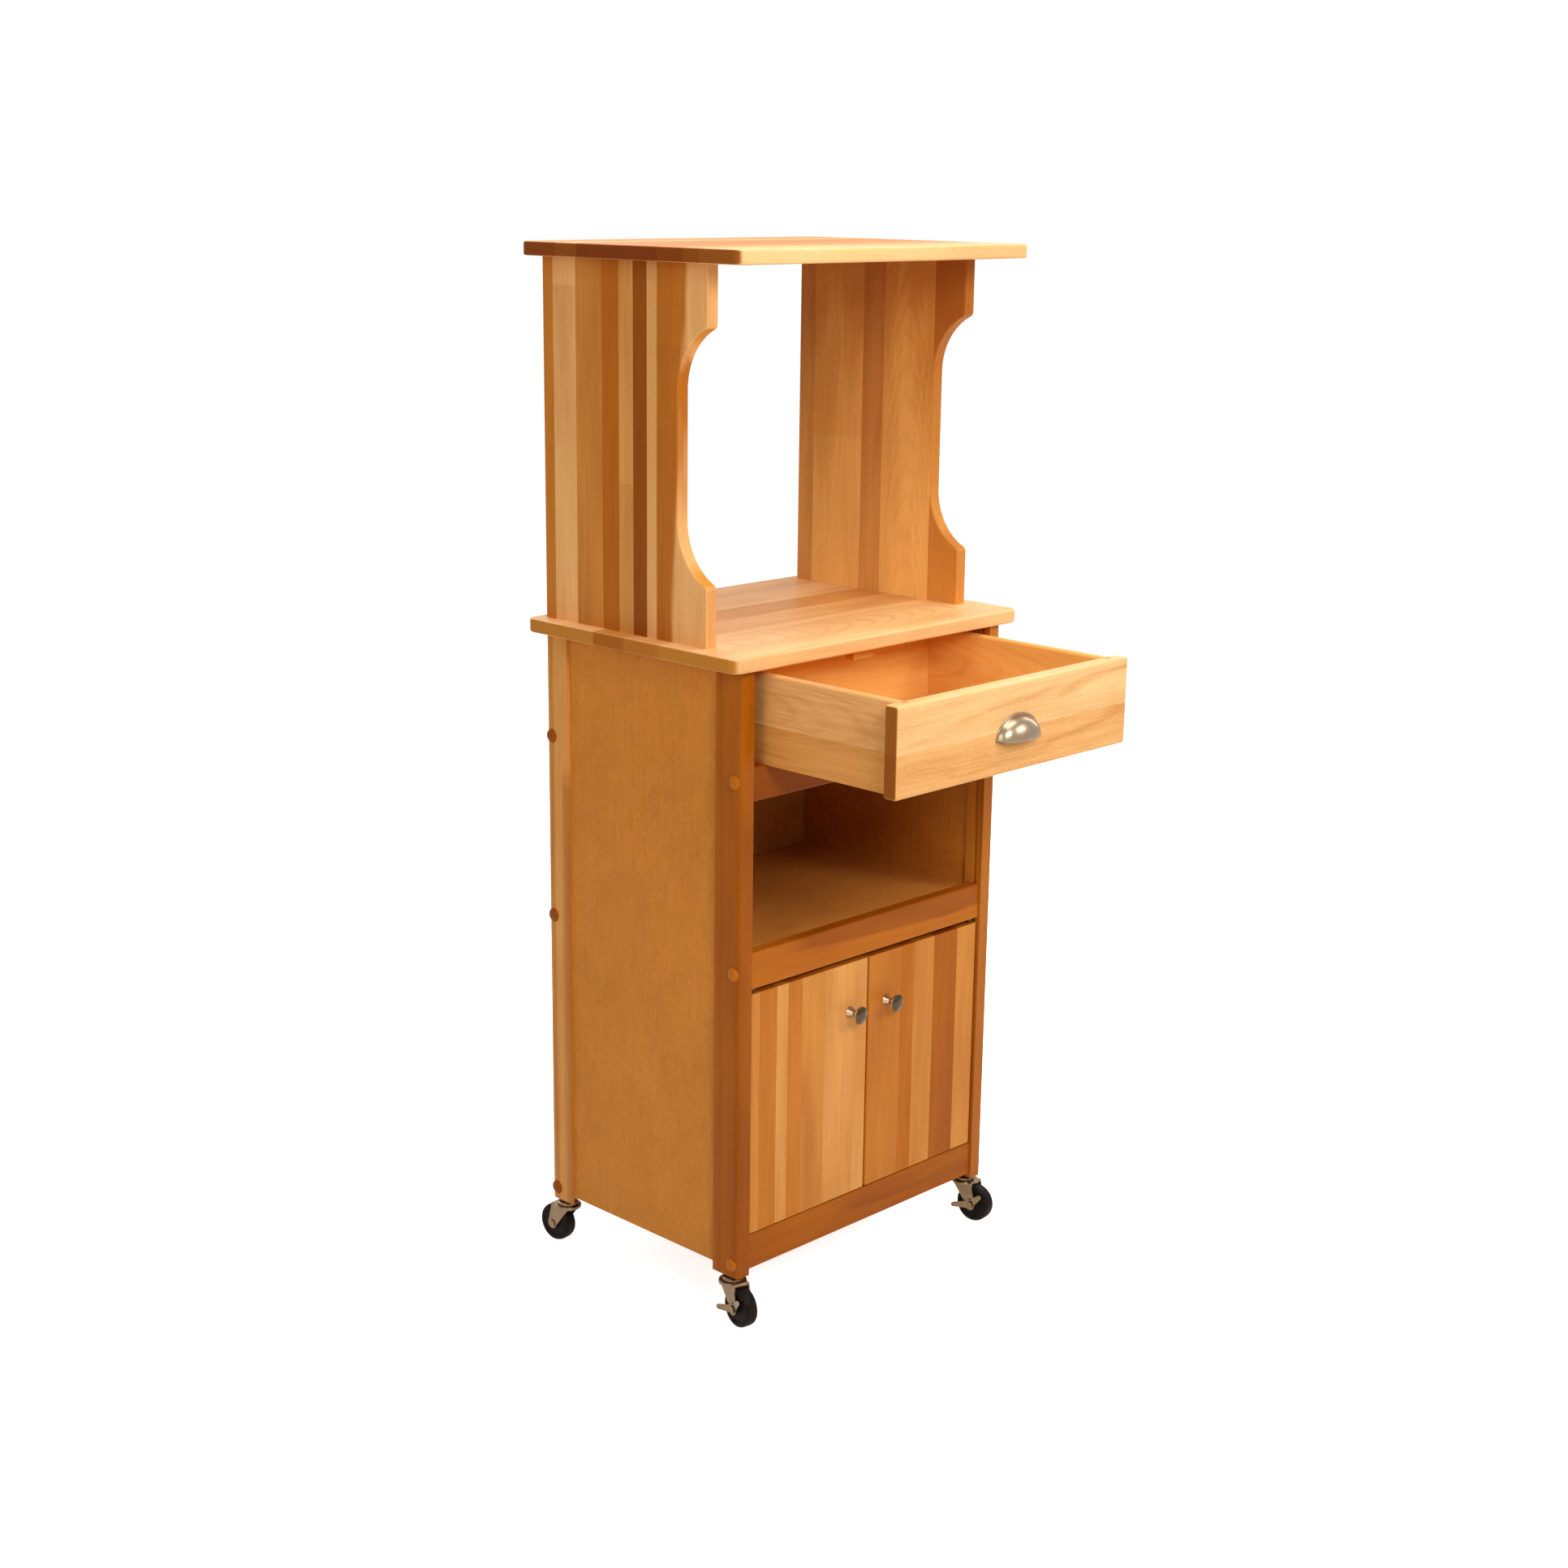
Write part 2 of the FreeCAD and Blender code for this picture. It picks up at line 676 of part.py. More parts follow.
def drawer_bottom():
    """The thin bottom panel, held in the grooves all round."""
    reach = drawer_side_inner_x + drawer_bottom_inlet - drawer_joint_gap
    panel = block(-reach, reach, drawer_front_back_y, drawer_back_y - drawer_joint_gap,
                  drawer_panel_z, drawer_panel_z + drawer_bottom_thickness)
    ends = block(-drawer_side_inner_x + drawer_joint_gap, drawer_side_inner_x - drawer_joint_gap,
                 drawer_front_back_y - drawer_bottom_inlet, drawer_back_y + drawer_bottom_inlet,
                 drawer_panel_z, drawer_panel_z + drawer_bottom_thickness)
    return panel.fuse(ends).removeSplitter()


def pull_screw_places():
    """The x places of the two pull screws."""
    return (-pull_screw_spacing / 2, pull_screw_spacing / 2)


def quarter_dome(x_reach, y_reach, z_reach):
    """A quarter of an ellipsoid about the origin, above it and in front of it."""
    quarter = Part.makeSphere(1.0, Vector(0, 0, 0), Vector(0, 0, 1), 0, 90, 180)
    quarter.rotate(Vector(0, 0, 0), Vector(0, 0, 1), 180)
    stretch = FreeCAD.Matrix()
    stretch.scale(x_reach, y_reach, z_reach)
    return quarter.transformGeometry(stretch)


def half_oval(x_reach, z_reach, thickness):
    """A flat half-oval plate about the origin, above it and in front of it."""
    plate = Part.makeCylinder(1.0, thickness, Vector(0, 0, 0), Vector(0, 0, 1), 180)
    plate.rotate(Vector(0, 0, 0), Vector(1, 0, 0), 90)
    stretch = FreeCAD.Matrix()
    stretch.scale(x_reach, 1.0, z_reach)
    return plate.transformGeometry(stretch)


def cup_pull():
    """The cup pull: a half-dome open below, its rim on the drawer face, two screw bosses inside."""
    dome_x = pull_width / 2 - pull_rim
    dome_z = pull_height - pull_rim
    dome = quarter_dome(dome_x, pull_projection, dome_z)
    hollow = quarter_dome(dome_x - pull_wall, pull_projection - pull_wall, dome_z - pull_wall)
    rim = half_oval(pull_width / 2, pull_height, pull_rim_thickness)
    rim_opening = half_oval(dome_x - pull_wall, dome_z - pull_wall, pull_rim_thickness + 1)
    shell = dome.fuse(rim).cut([hollow, rim_opening])
    for x in pull_screw_places():
        boss = rod(pull_boss_diameter / 2, (x, 0, pull_screw_rise), (0, -1, 0), pull_projection)
        shell = shell.fuse(boss.common(dome))
    holes = [rod(pull_screw_diameter / 2 + screw_clearance, (x, 1, pull_screw_rise),
                 (0, -1, 0), pull_screw_grip() + 2) for x in pull_screw_places()]
    pull = shell.cut(holes).removeSplitter()
    pull.translate(Vector(0, drawer_front_y, pull_z))
    return pull


def pull_screw_grip():
    """How far a pull screw runs into its boss."""
    return pull_projection * 0.4


def pull_screw(x):
    """One machine screw from inside the drawer into a boss of the pull."""
    z = pull_z + pull_screw_rise
    head = rod(pull_screw_head_diameter / 2, (x, drawer_front_back_y, z), (0, 1, 0), pull_screw_head_height)
    shank = rod(pull_screw_diameter / 2, (x, drawer_front_back_y, z), (0, -1, 0),
                drawer_front_thickness + pull_screw_grip())
    return head.fuse(shank).removeSplitter()


# ---------------------------------------------------------------- doors
def pivot_pin(upper):
    """The right-hand door's upper or lower pivot pin, fixed in the door."""
    edge_z = door_top_z if upper else door_foot_z
    out = 1 if upper else -1
    gap = door_top_gap if upper else door_bottom_gap
    start = (pivot_x, pivot_y, edge_z - out * pivot_pin_in_door)
    length = pivot_pin_in_door + gap + pivot_pin_in_rail
    return rod(pivot_pin_diameter / 2, start, (0, 0, out), length)


def pivot_bush(upper):
    """The right-hand nylon bush that an end of the pivot pin turns in, set in its rail."""
    rail_face_z = shelf_rail_z if upper else bottom_rail_top_z
    into = 1 if upper else -1
    length = pivot_pin_in_rail + bush_bottom_gap
    barrel = rod(bush_diameter / 2, (pivot_x, pivot_y, rail_face_z), (0, 0, into), length)
    flange = rod(bush_flange_diameter / 2, (pivot_x, pivot_y, rail_face_z), (0, 0, -into),
                 bush_flange_thickness)
    bore_radius = pivot_pin_diameter / 2 + pivot_running_gap
    bore = rod(bore_radius, (pivot_x, pivot_y, rail_face_z - into * 5), (0, 0, into), length + 10)
    return barrel.fuse(flange).removeSplitter().cut(bore)


def bush_hole(upper):
    """The hole in a rail for that bush."""
    rail_face_z = shelf_rail_z if upper else bottom_rail_top_z
    into = 1 if upper else -1
    length = pivot_pin_in_rail + bush_bottom_gap + 1
    start = (pivot_x, pivot_y, rail_face_z - into)
    return rod(bush_diameter / 2, start, (0, 0, into), length)


def door():
    """The right-hand door with its pin bores and knob bore."""
    leaf = block(door_inner_x, door_outer_x, door_front_y, door_rear_y, door_foot_z, door_top_z)
    leaf = rounded(leaf, door_edge_round, 2, lambda p: p.y < door_front_y + 1)
    spare = 1.0
    bores = []
    for edge_z, inward in ((door_top_z, -1), (door_foot_z, 1)):
        start = (pivot_x, pivot_y, edge_z - inward)
        length = pivot_pin_in_door + 1 + spare
        bores.append(rod(pivot_pin_diameter / 2, start, (0, 0, inward), length))
    bores.append(rod(knob_screw_diameter / 2 + screw_clearance, (knob_x, door_front_y - 1, knob_z),
                     (0, 1, 0), door_thickness + 2))
    return leaf.cut(bores)


def knob():
    """The right-hand knob: a cone, a neck and a mushroom head."""
    head_start = knob_projection - knob_head_thickness
    profile = [
        (knob_screw_diameter / 2, 0),
        (knob_base_diameter / 2, 0),
        (knob_base_diameter / 2, 1.0),
        (knob_neck_diameter / 2, knob_projection * 0.4),
        (knob_neck_diameter / 2, head_start),
        (knob_head_diameter * 0.36, head_start + 1.2),
        (knob_head_diameter * 0.47, head_start + 2.6),
        (knob_head_diameter / 2, head_start + 4.0),
        (knob_head_diameter / 2, head_start + 4.0 + knob_rim_thickness * 0.3),
        (knob_head_diameter * 0.46, knob_projection - 2.6),
        (knob_head_diameter * 0.34, knob_projection - 1.1),
        (knob_head_diameter * 0.18, knob_projection - 0.3),
        (0, knob_projection),
        (0, knob_screw_grip + 1),
        (knob_screw_diameter / 2, knob_screw_grip + 1),
    ]
    return lathe(profile, (knob_x, door_front_y, knob_z), (0, -1, 0))


def knob_screw():
    """The machine screw through the right-hand door into its knob."""
    head = rod(screw_head_diameter / 2, (knob_x, door_rear_y, knob_z), (0, 1, 0), pull_screw_head_height)
    shank = rod(knob_screw_diameter / 2 - screw_clearance, (knob_x, door_rear_y, knob_z), (0, -1, 0),
                door_thickness + knob_screw_grip)
    return head.fuse(shank).removeSplitter()


def catch_plate():
    """The right-hand door's steel strike plate for the magnetic catch."""
    top_z = door_top_z - catch_plate_top_gap
    return block(catch_side, catch_side + catch_width, door_rear_y, door_rear_y + catch_plate_thickness,
                 top_z - catch_plate_height, top_z)


def door_catch():
    """The right-hand magnetic catch, hung under the shelf behind the closed door."""
    face_y = door_rear_y + catch_plate_thickness + catch_air_gap
    return block(catch_side, catch_side + catch_width, face_y, face_y + catch_depth,
                 shelf_under_z - catch_drop, shelf_under_z)


# ---------------------------------------------------------------- castors
def placed(shape, corner):
    """A castor piece moved from its own swivel axis, heading along +X, to its corner."""
    x, y = caster_places[corner]
    moved = shape.copy()
    moved.rotate(Vector(0, 0, 0), Vector(0, 0, 1), caster_heading_deg[corner])
    moved.translate(Vector(x, y, 0))
    return moved


def caster_stem():
    """Stem, collar, kingpin and its riveted head, all turned from one rod."""
    head_foot_z = kingpin_head_top_z - kingpin_head_height
    pin_top_z = caster_height - stem_collar_height
    profile = [
        (0, head_foot_z),
        (kingpin_head_diameter * 0.35, head_foot_z),
        (kingpin_head_diameter / 2, head_foot_z + kingpin_head_height * 0.5),
        (kingpin_head_diameter / 2, kingpin_head_top_z),
        (kingpin_diameter / 2, kingpin_head_top_z),
        (kingpin_diameter / 2, pin_top_z),
        (stem_collar_diameter / 2, pin_top_z),
        (stem_collar_diameter / 2, caster_height),
        (stem_diameter / 2, caster_height),
        (stem_diameter / 2, caster_height + stem_length - 1),
        (stem_diameter / 2 - 1, caster_height + stem_length),
        (0, caster_height + stem_length),
    ]
    return lathe(profile, (0, 0, 0), (0, 0, 1))


def race_cap():
    """The domed upper race, fixed under the collar."""
    bore = kingpin_diameter / 2 + dowel_clearance
    profile = [
        (bore, race_cap_foot_z),
        (race_cap_diameter / 2, race_cap_foot_z),
        (race_cap_diameter / 2, race_cap_foot_z + race_cap_rim_height),
        (race_cap_diameter * 0.44, race_cap_foot_z + race_cap_height * 0.75),
        (race_cap_top_diameter / 2, race_cap_top_z),
        (bore, race_cap_top_z),
    ]
    return lathe(profile, (0, 0, 0), (0, 0, 1))


def fork_leg(side):
    """One fork leg, leaning from the crown to the boss round the axle."""
    y = side * leg_inner_y
    across = Vector(0, side * fork_leg_thickness, 0)
    boss_front = wheel_trail + fork_boss_radius * 0.97
    boss_back = wheel_trail - fork_boss_radius * 0.95
    corners = [
        (-fork_crown_back, crown_top_z - fork_crown_round),
        (fork_crown_reach, crown_top_z - fork_crown_round),
        (boss_front, axle_z + fork_boss_radius * 0.2),
        (boss_back, axle_z - fork_boss_radius * 0.3),
    ]
    points = [Vector(x, y, z) for x, z in corners]
    points.append(points[0])
    web = Part.Face(Part.makePolygon(points)).extrude(across)
    boss = rod(fork_boss_radius, (wheel_trail, y, axle_z), (0, side, 0), fork_leg_thickness)
    return web.fuse(boss)


def caster_fork(braked):
    """Crown, two legs and the riveted axle; a braked fork has a shoulder that carries the lever."""
    disc = rod(fork_crown_diameter / 2, (0, 0, crown_under_z), (0, 0, 1), fork_crown_thickness)
    plate = block(0, fork_crown_reach, -leg_outer_y, leg_outer_y, crown_under_z, crown_top_z)
    crown = disc.fuse(plate).removeSplitter()
    top_rim = [edge for edge in crown.Edges
               if edge.BoundBox.ZLength < 1e-6 and edge.BoundBox.ZMin > crown_top_z - 1e-6]
    crown = crown.makeFillet(fork_crown_round, top_rim)
    axle = rod(axle_diameter / 2, (wheel_trail, -leg_outer_y, axle_z), (0, 1, 0), 2 * leg_outer_y)
    head = rod(axle_head_diameter / 2, (wheel_trail, leg_outer_y, axle_z), (0, 1, 0), axle_head_height)
    pieces = [fork_leg(1), fork_leg(-1), axle, head]
    if braked:
        shoulder = lever_gap + lever_thickness + lever_gap
        pieces.append(rod(lever_shoulder_diameter / 2, (wheel_trail, -leg_outer_y, axle_z),
                          (0, -1, 0), shoulder))
        pieces.append(rod(axle_head_diameter / 2, (wheel_trail, -leg_outer_y - shoulder, axle_z),
                          (0, -1, 0), axle_head_height))
    else:
        pieces.append(rod(axle_head_diameter / 2, (wheel_trail, -leg_outer_y, axle_z),
                          (0, -1, 0), axle_head_height))
    fork = crown.fuse(pieces).removeSplitter()
    kingpin_hole = rod(kingpin_diameter / 2 + running_gap, (0, 0, crown_under_z - 1), (0, 0, 1),
                       fork_crown_thickness + 2)
    return fork.cut(kingpin_hole)


def caster_wheel():
    """A solid wheel with a round tread edge and a shallow recess in each face."""
    radius = wheel_diameter / 2
    half = wheel_width / 2
    wheel = rod(radius, (wheel_trail, -half, axle_z), (0, 1, 0), wheel_width)
    rims = [edge for edge in wheel.Edges if edge.BoundBox.YLength < 1e-6]
    wheel = wheel.makeFillet(wheel_edge_round, rims)
    cuts = [rod(axle_diameter / 2 + running_gap, (wheel_trail, -half - 1, axle_z), (0, 1, 0),
                wheel_width + 2)]
    for side in (-1, 1):
        floor_y = side * (half - wheel_recess_depth)
        ring = rod(wheel_recess_outer / 2, (wheel_trail, floor_y, axle_z), (0, side, 0),
                   wheel_recess_depth + 1)
        core = rod(wheel_recess_inner / 2, (wheel_trail, floor_y, axle_z), (0, side, 0),
                   wheel_recess_depth + 1)
        cuts.append(ring.cut(core))
    return wheel.cut(cuts)


def lever_wing(direction):
    """One wing of the brake lever: raised and flared outwards, narrowing to a round tip."""
    y = -leg_outer_y - lever_gap
    root = lever_wing_root_height / 2
    half = lever_wing_tip_height / 2
    tip = lever_wing_length - half
    points = [Vector(x, y, z) for x, z in ((0, -root), (tip, -half), (tip, half), (0, root))]
    points.append(points[0])
    bar = Part.Face(Part.makePolygon(points)).extrude(Vector(0, -lever_thickness, 0))
    end = rod(half, (tip, y, 0), (0, -1, 0), lever_thickness)
    bend_x = lever_hub_radius * 0.7
    wing = bar.fuse(end).removeSplitter()
    outer = wing.common(block(bend_x, lever_wing_length + 1, y - 3, y + 3, -root - 1, root + 1))
    outer.rotate(Vector(bend_x, y, 0), Vector(0, 0, 1), -lever_wing_flare_deg)
    inner = wing.common(block(-1, bend_x + lever_thickness * 0.3, y - 3, y + 3, -root - 1, root + 1))
    wing = outer.fuse(inner)
    wing.rotate(Vector(0, 0, 0), Vector(0, 1, 0), -lever_wing_rise_deg)
    if direction < 0:
        wing = mirrored(wing)
    return wing


def brake_lever():
    """The two-winged brake lever on the axle's shoulder, rocked to its rest position."""
    y = -leg_outer_y - lever_gap
    hub = rod(lever_hub_radius, (0, y, 0), (0, -1, 0), lever_thickness)
    lever = hub.fuse([lever_wing(1), lever_wing(-1)])
    bore = rod(lever_shoulder_diameter / 2 + running_gap, (0, y + 1, 0), (0, -1, 0), lever_thickness + 2)
    lever = lever.cut(bore)
    lever.rotate(Vector(0, 0, 0), Vector(0, 1, 0), -lever_rest_tilt_deg)
    lever.translate(Vector(wheel_trail, 0, axle_z))
    return lever


# ---------------------------------------------------------------- output
def save_pair(name, shape):
    """Write a right-hand shape and its left-hand twin."""
    save(name + "_right", shape)
    save(name + "_left", mirrored(shape))


def save_carcass():
    """Posts, panels, rails, boards, runners and their fasteners."""
    save_pair("post_front", corner_post(True))
    save_pair("post_rear", corner_post(False))
    save_pair("side_panel", side_panel())
    reach = post_inner_x - glue_gap
    save("back_panel", block(-reach, reach, back_panel_front_y, rear_rail_front_y,
                             panel_foot_z, counter_under_z))
    save("drawer_rail", front_rail(drawer_rail_z, drawer_rail_height))
    save("shelf_rail", front_rail(shelf_rail_z, rail_height).cut(both_sides(bush_hole(True))))
    save("bottom_rail", front_rail(bottom_rail_z, rail_height).cut(both_sides(bush_hole(False))))
    save("rear_rail_upper", rear_rail(drawer_rail_z, drawer_rail_height))
    save("rear_rail_middle", rear_rail(shelf_rail_z, rail_height))
    save("rear_rail_lower", rear_rail(bottom_rail_z, rail_height))
    save("open_shelf", inner_board(shelf_top_z))
    save("cabinet_floor", inner_board(floor_top_z))
    save("shelf_cleats", group(both_sides(cleat(shelf_under_z))))
    save("floor_cleats", group(both_sides(cleat(floor_under_z))))
    save("counter_cleats", group(both_sides(cleat(counter_under_z))))
    save_pair("drawer_guide", drawer_guide())
    save("drawer_stop_block", drawer_stop_block())
    screws = []
    caps = []
    for y, z in screw_row():
        screws += both_sides(post_screw(y, z))
        caps += both_sides(button_cap(y, z))
    save("rail_screws", group(screws))
    save("button_caps", group(caps))
    dowels = []
    for seam in dowel_seams():
        dowels += both_sides(dowel(*seam))
    save("wood_dowels", group(dowels))


def save_tops():
    """Counter and hutch."""
    save("counter_board", counter_board())
    save("hutch_top_board", hutch_top_board())
    save_pair("hutch_side", hutch_side())


def save_drawer():
    """The drawer and its pull."""
    save("drawer_front", drawer_front())
    save_pair("drawer_side", drawer_side())
    save("drawer_back", drawer_back())
    save("drawer_bottom", drawer_bottom())
    save("cup_pull", cup_pull())
    save("cup_pull_screws", group([pull_screw(x) for x in pull_screw_places()]))


def save_doors():
    """Doors, knobs, pivots and catches."""
    save_pair("door", door())
    save_pair("knob", knob())
    save_pair("knob_screw", knob_screw())
    pins = group([pivot_pin(True), pivot_pin(False)])
    save_pair("door_pins", pins)
    save_pair("catch_plate", catch_plate())
    save("door_bushes", group(both_sides(pivot_bush(True)) + both_sides(pivot_bush(False))))
    save("door_catches", group(both_sides(door_catch())))


def save_casters():
    """The four castors."""
    save("caster_stems", group([placed(caster_stem(), corner) for corner in caster_places]))
    save("caster_race_caps", group([placed(race_cap(), corner) for corner in caster_places]))
    for corner in caster_places:
        braked = corner in ("fl", "fr")
        save("caster_fork_" + corner, placed(caster_fork(braked), corner))
        save("caster_wheel_" + corner, placed(caster_wheel(), corner))
        if braked:
            save("brake_lever_" + corner, placed(brake_lever(), corner))


os.makedirs("parts", exist_ok=True)
save_carcass()
save_tops()
save_drawer()
save_doors()
save_casters()
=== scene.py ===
"""Dresses the rolling microwave stand: oiled birch boards, nickel fittings, zinc castors, plain studio."""

import json
import logging
import math
from collections.abc import Sequence
from dataclasses import dataclass, field
from enum import Enum

import bmesh
import bpy
import numpy as np
from mathutils import Matrix, Vector


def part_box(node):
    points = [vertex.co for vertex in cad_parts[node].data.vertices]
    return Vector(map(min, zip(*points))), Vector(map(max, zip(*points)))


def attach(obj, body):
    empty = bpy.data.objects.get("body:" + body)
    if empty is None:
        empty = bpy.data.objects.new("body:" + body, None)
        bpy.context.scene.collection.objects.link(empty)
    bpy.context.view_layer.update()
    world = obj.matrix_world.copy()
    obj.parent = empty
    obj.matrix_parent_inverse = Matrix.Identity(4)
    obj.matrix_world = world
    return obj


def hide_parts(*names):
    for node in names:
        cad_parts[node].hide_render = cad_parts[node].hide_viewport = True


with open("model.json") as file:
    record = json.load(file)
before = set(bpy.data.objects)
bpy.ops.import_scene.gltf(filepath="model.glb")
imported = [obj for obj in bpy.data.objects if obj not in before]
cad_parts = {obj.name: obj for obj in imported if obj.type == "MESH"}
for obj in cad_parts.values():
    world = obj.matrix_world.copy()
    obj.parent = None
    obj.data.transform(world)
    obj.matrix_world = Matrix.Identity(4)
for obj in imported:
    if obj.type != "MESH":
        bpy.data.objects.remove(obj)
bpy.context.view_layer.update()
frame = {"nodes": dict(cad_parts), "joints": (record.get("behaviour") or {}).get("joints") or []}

NODES: dict[str, bpy.types.Object] = frame["nodes"]
MM = 0.001
LOG = logging.getLogger("stand")

Colour = tuple[float, float, float]
Opaque = tuple[float, float, float, float]
Point = tuple[float, float, float]

# Linear factors that turn a wood's tone into its darkest and palest shade.
WOOD_DEEP = (0.63, 0.46, 0.27, 1.0)
WOOD_LIGHT = (1.18, 1.24, 1.30, 1.0)
PLY_DEEP = (0.60, 0.50, 0.34, 1.0)
PLY_LIGHT = (1.20, 1.24, 1.34, 1.0)
PLY_CROSS = (0.50, 0.42, 0.34, 1.0)
PLY_PAIR = 3.0  # mm through two plies

# How far a stave's number moves its pattern, and how far a finish's seed does, mm.
STAVE_ALONG = 977.0
STAVE_ACROSS = 331.0
STAVE_JOINT = 1700.0
SEED_STEP = 131.0
PLY_SEED_STEP = 517.0
WIDE = 2000.0  # mm, wider than any board: a finish of one stave

# The thin oil finish on every wood.
OIL_SPECULAR = 0.07
OIL_COAT = 0.02

WELD = 2e-6  # metres, points closer than this are one
CREASE = 38.0  # degrees, a sharper edge isn't shaded smooth
SENSOR = 36.0  # mm, width of the camera's sensor


# ---------------------------------------------------------------- shader writing
def linear(red: float, green: float, blue: float) -> Opaque:
    """Turns a display colour, 0 to 255, into the linear colour that a shader takes.

    Args:
        red: Red of the display colour.
        green: Green of the display colour.
        blue: Blue of the display colour.

    Returns:
        Linear red, green and blue, and full opacity.
    """
    def channel(value: float) -> float:
        """One channel of the display curve, undone."""
        part = value / 255.0
        return part / 12.92 if part <= 0.04045 else ((part + 0.055) / 1.055) ** 2.4

    return channel(red), channel(green), channel(blue), 1.0


def toned(colour: Opaque, factor: float) -> Opaque:
    """A linear colour times a number, kept within 1."""
    return *(min(1.0, part * factor) for part in colour[:3]), 1.0


class Sock:
    """An output socket of a shader tree. Arithmetic on it adds the Math nodes that the expression needs."""

    def __init__(self, tree: "ShaderTree", socket: bpy.types.NodeSocket) -> None:
        """Wraps one output socket of a tree."""
        self.tree = tree
        self.socket = socket

    def math(self, operation: str, *values: "Value", clamp: bool = False) -> "Sock":
        """Adds one Math node.

        Args:
            operation: Blender's name of the operation.
            values: The node's inputs, in order.
            clamp: True to keep the result between 0 and 1.

        Returns:
            The node's result.
        """
        inputs = dict(enumerate(values))
        return self.tree.node("ShaderNodeMath", {"operation": operation, "use_clamp": clamp}, inputs)

    def __add__(self, other: "Value") -> "Sock":
        """Sum."""
        return self.math("ADD", self, other)

    __radd__ = __add__

    def __sub__(self, other: "Value") -> "Sock":
        """Difference."""
        return self.math("SUBTRACT", self, other)

    def __rsub__(self, other: "Value") -> "Sock":
        """Difference with the number first."""
        return self.math("SUBTRACT", other, self)

    def __mul__(self, other: "Value") -> "Sock":
        """Product."""
        return self.math("MULTIPLY", self, other)

    __rmul__ = __mul__

    def __truediv__(self, other: "Value") -> "Sock":
        """Quotient."""
        return self.math("DIVIDE", self, other)

    def __neg__(self) -> "Sock":
        """Negative."""
        return self.math("MULTIPLY", self, -1.0)

    def __abs__(self) -> "Sock":
        """Size without sign."""
        return self.math("ABSOLUTE", self)

    def sine(self) -> "Sock":
        """Sine of an angle in radians."""
        return self.math("SINE", self)

    def root(self) -> "Sock":
        """Square root."""
        return self.math("SQRT", self)

    def floor(self) -> "Sock":
        """The whole number at or under the value."""
        return self.math("FLOOR", self)

    def at_least(self, limit: "Value") -> "Sock":
        """The larger of the value and the limit."""
        return self.math("MAXIMUM", self, limit)

    def above(self, limit: "Value") -> "Sock":
        """1 where the value is over the limit, 0 elsewhere."""
        return self.math("GREATER_THAN", self, limit)

    def clamped(self) -> "Sock":
        """The value kept between 0 and 1."""
        return self.math("ADD", self, 0.0, clamp=True)

    def ease(self, low: float, high: float) -> "Sock":
        """A smooth step from 0 at low to 1 at high.

        Args:
            low: Value where the step starts.
            high: Value where the step ends.

        Returns:
            The eased value.
        """
        part = ((self - low) / (high - low)).clamped()
        return part * part * (3.0 - 2.0 * part)


Value = Sock | float | int | tuple | Vector


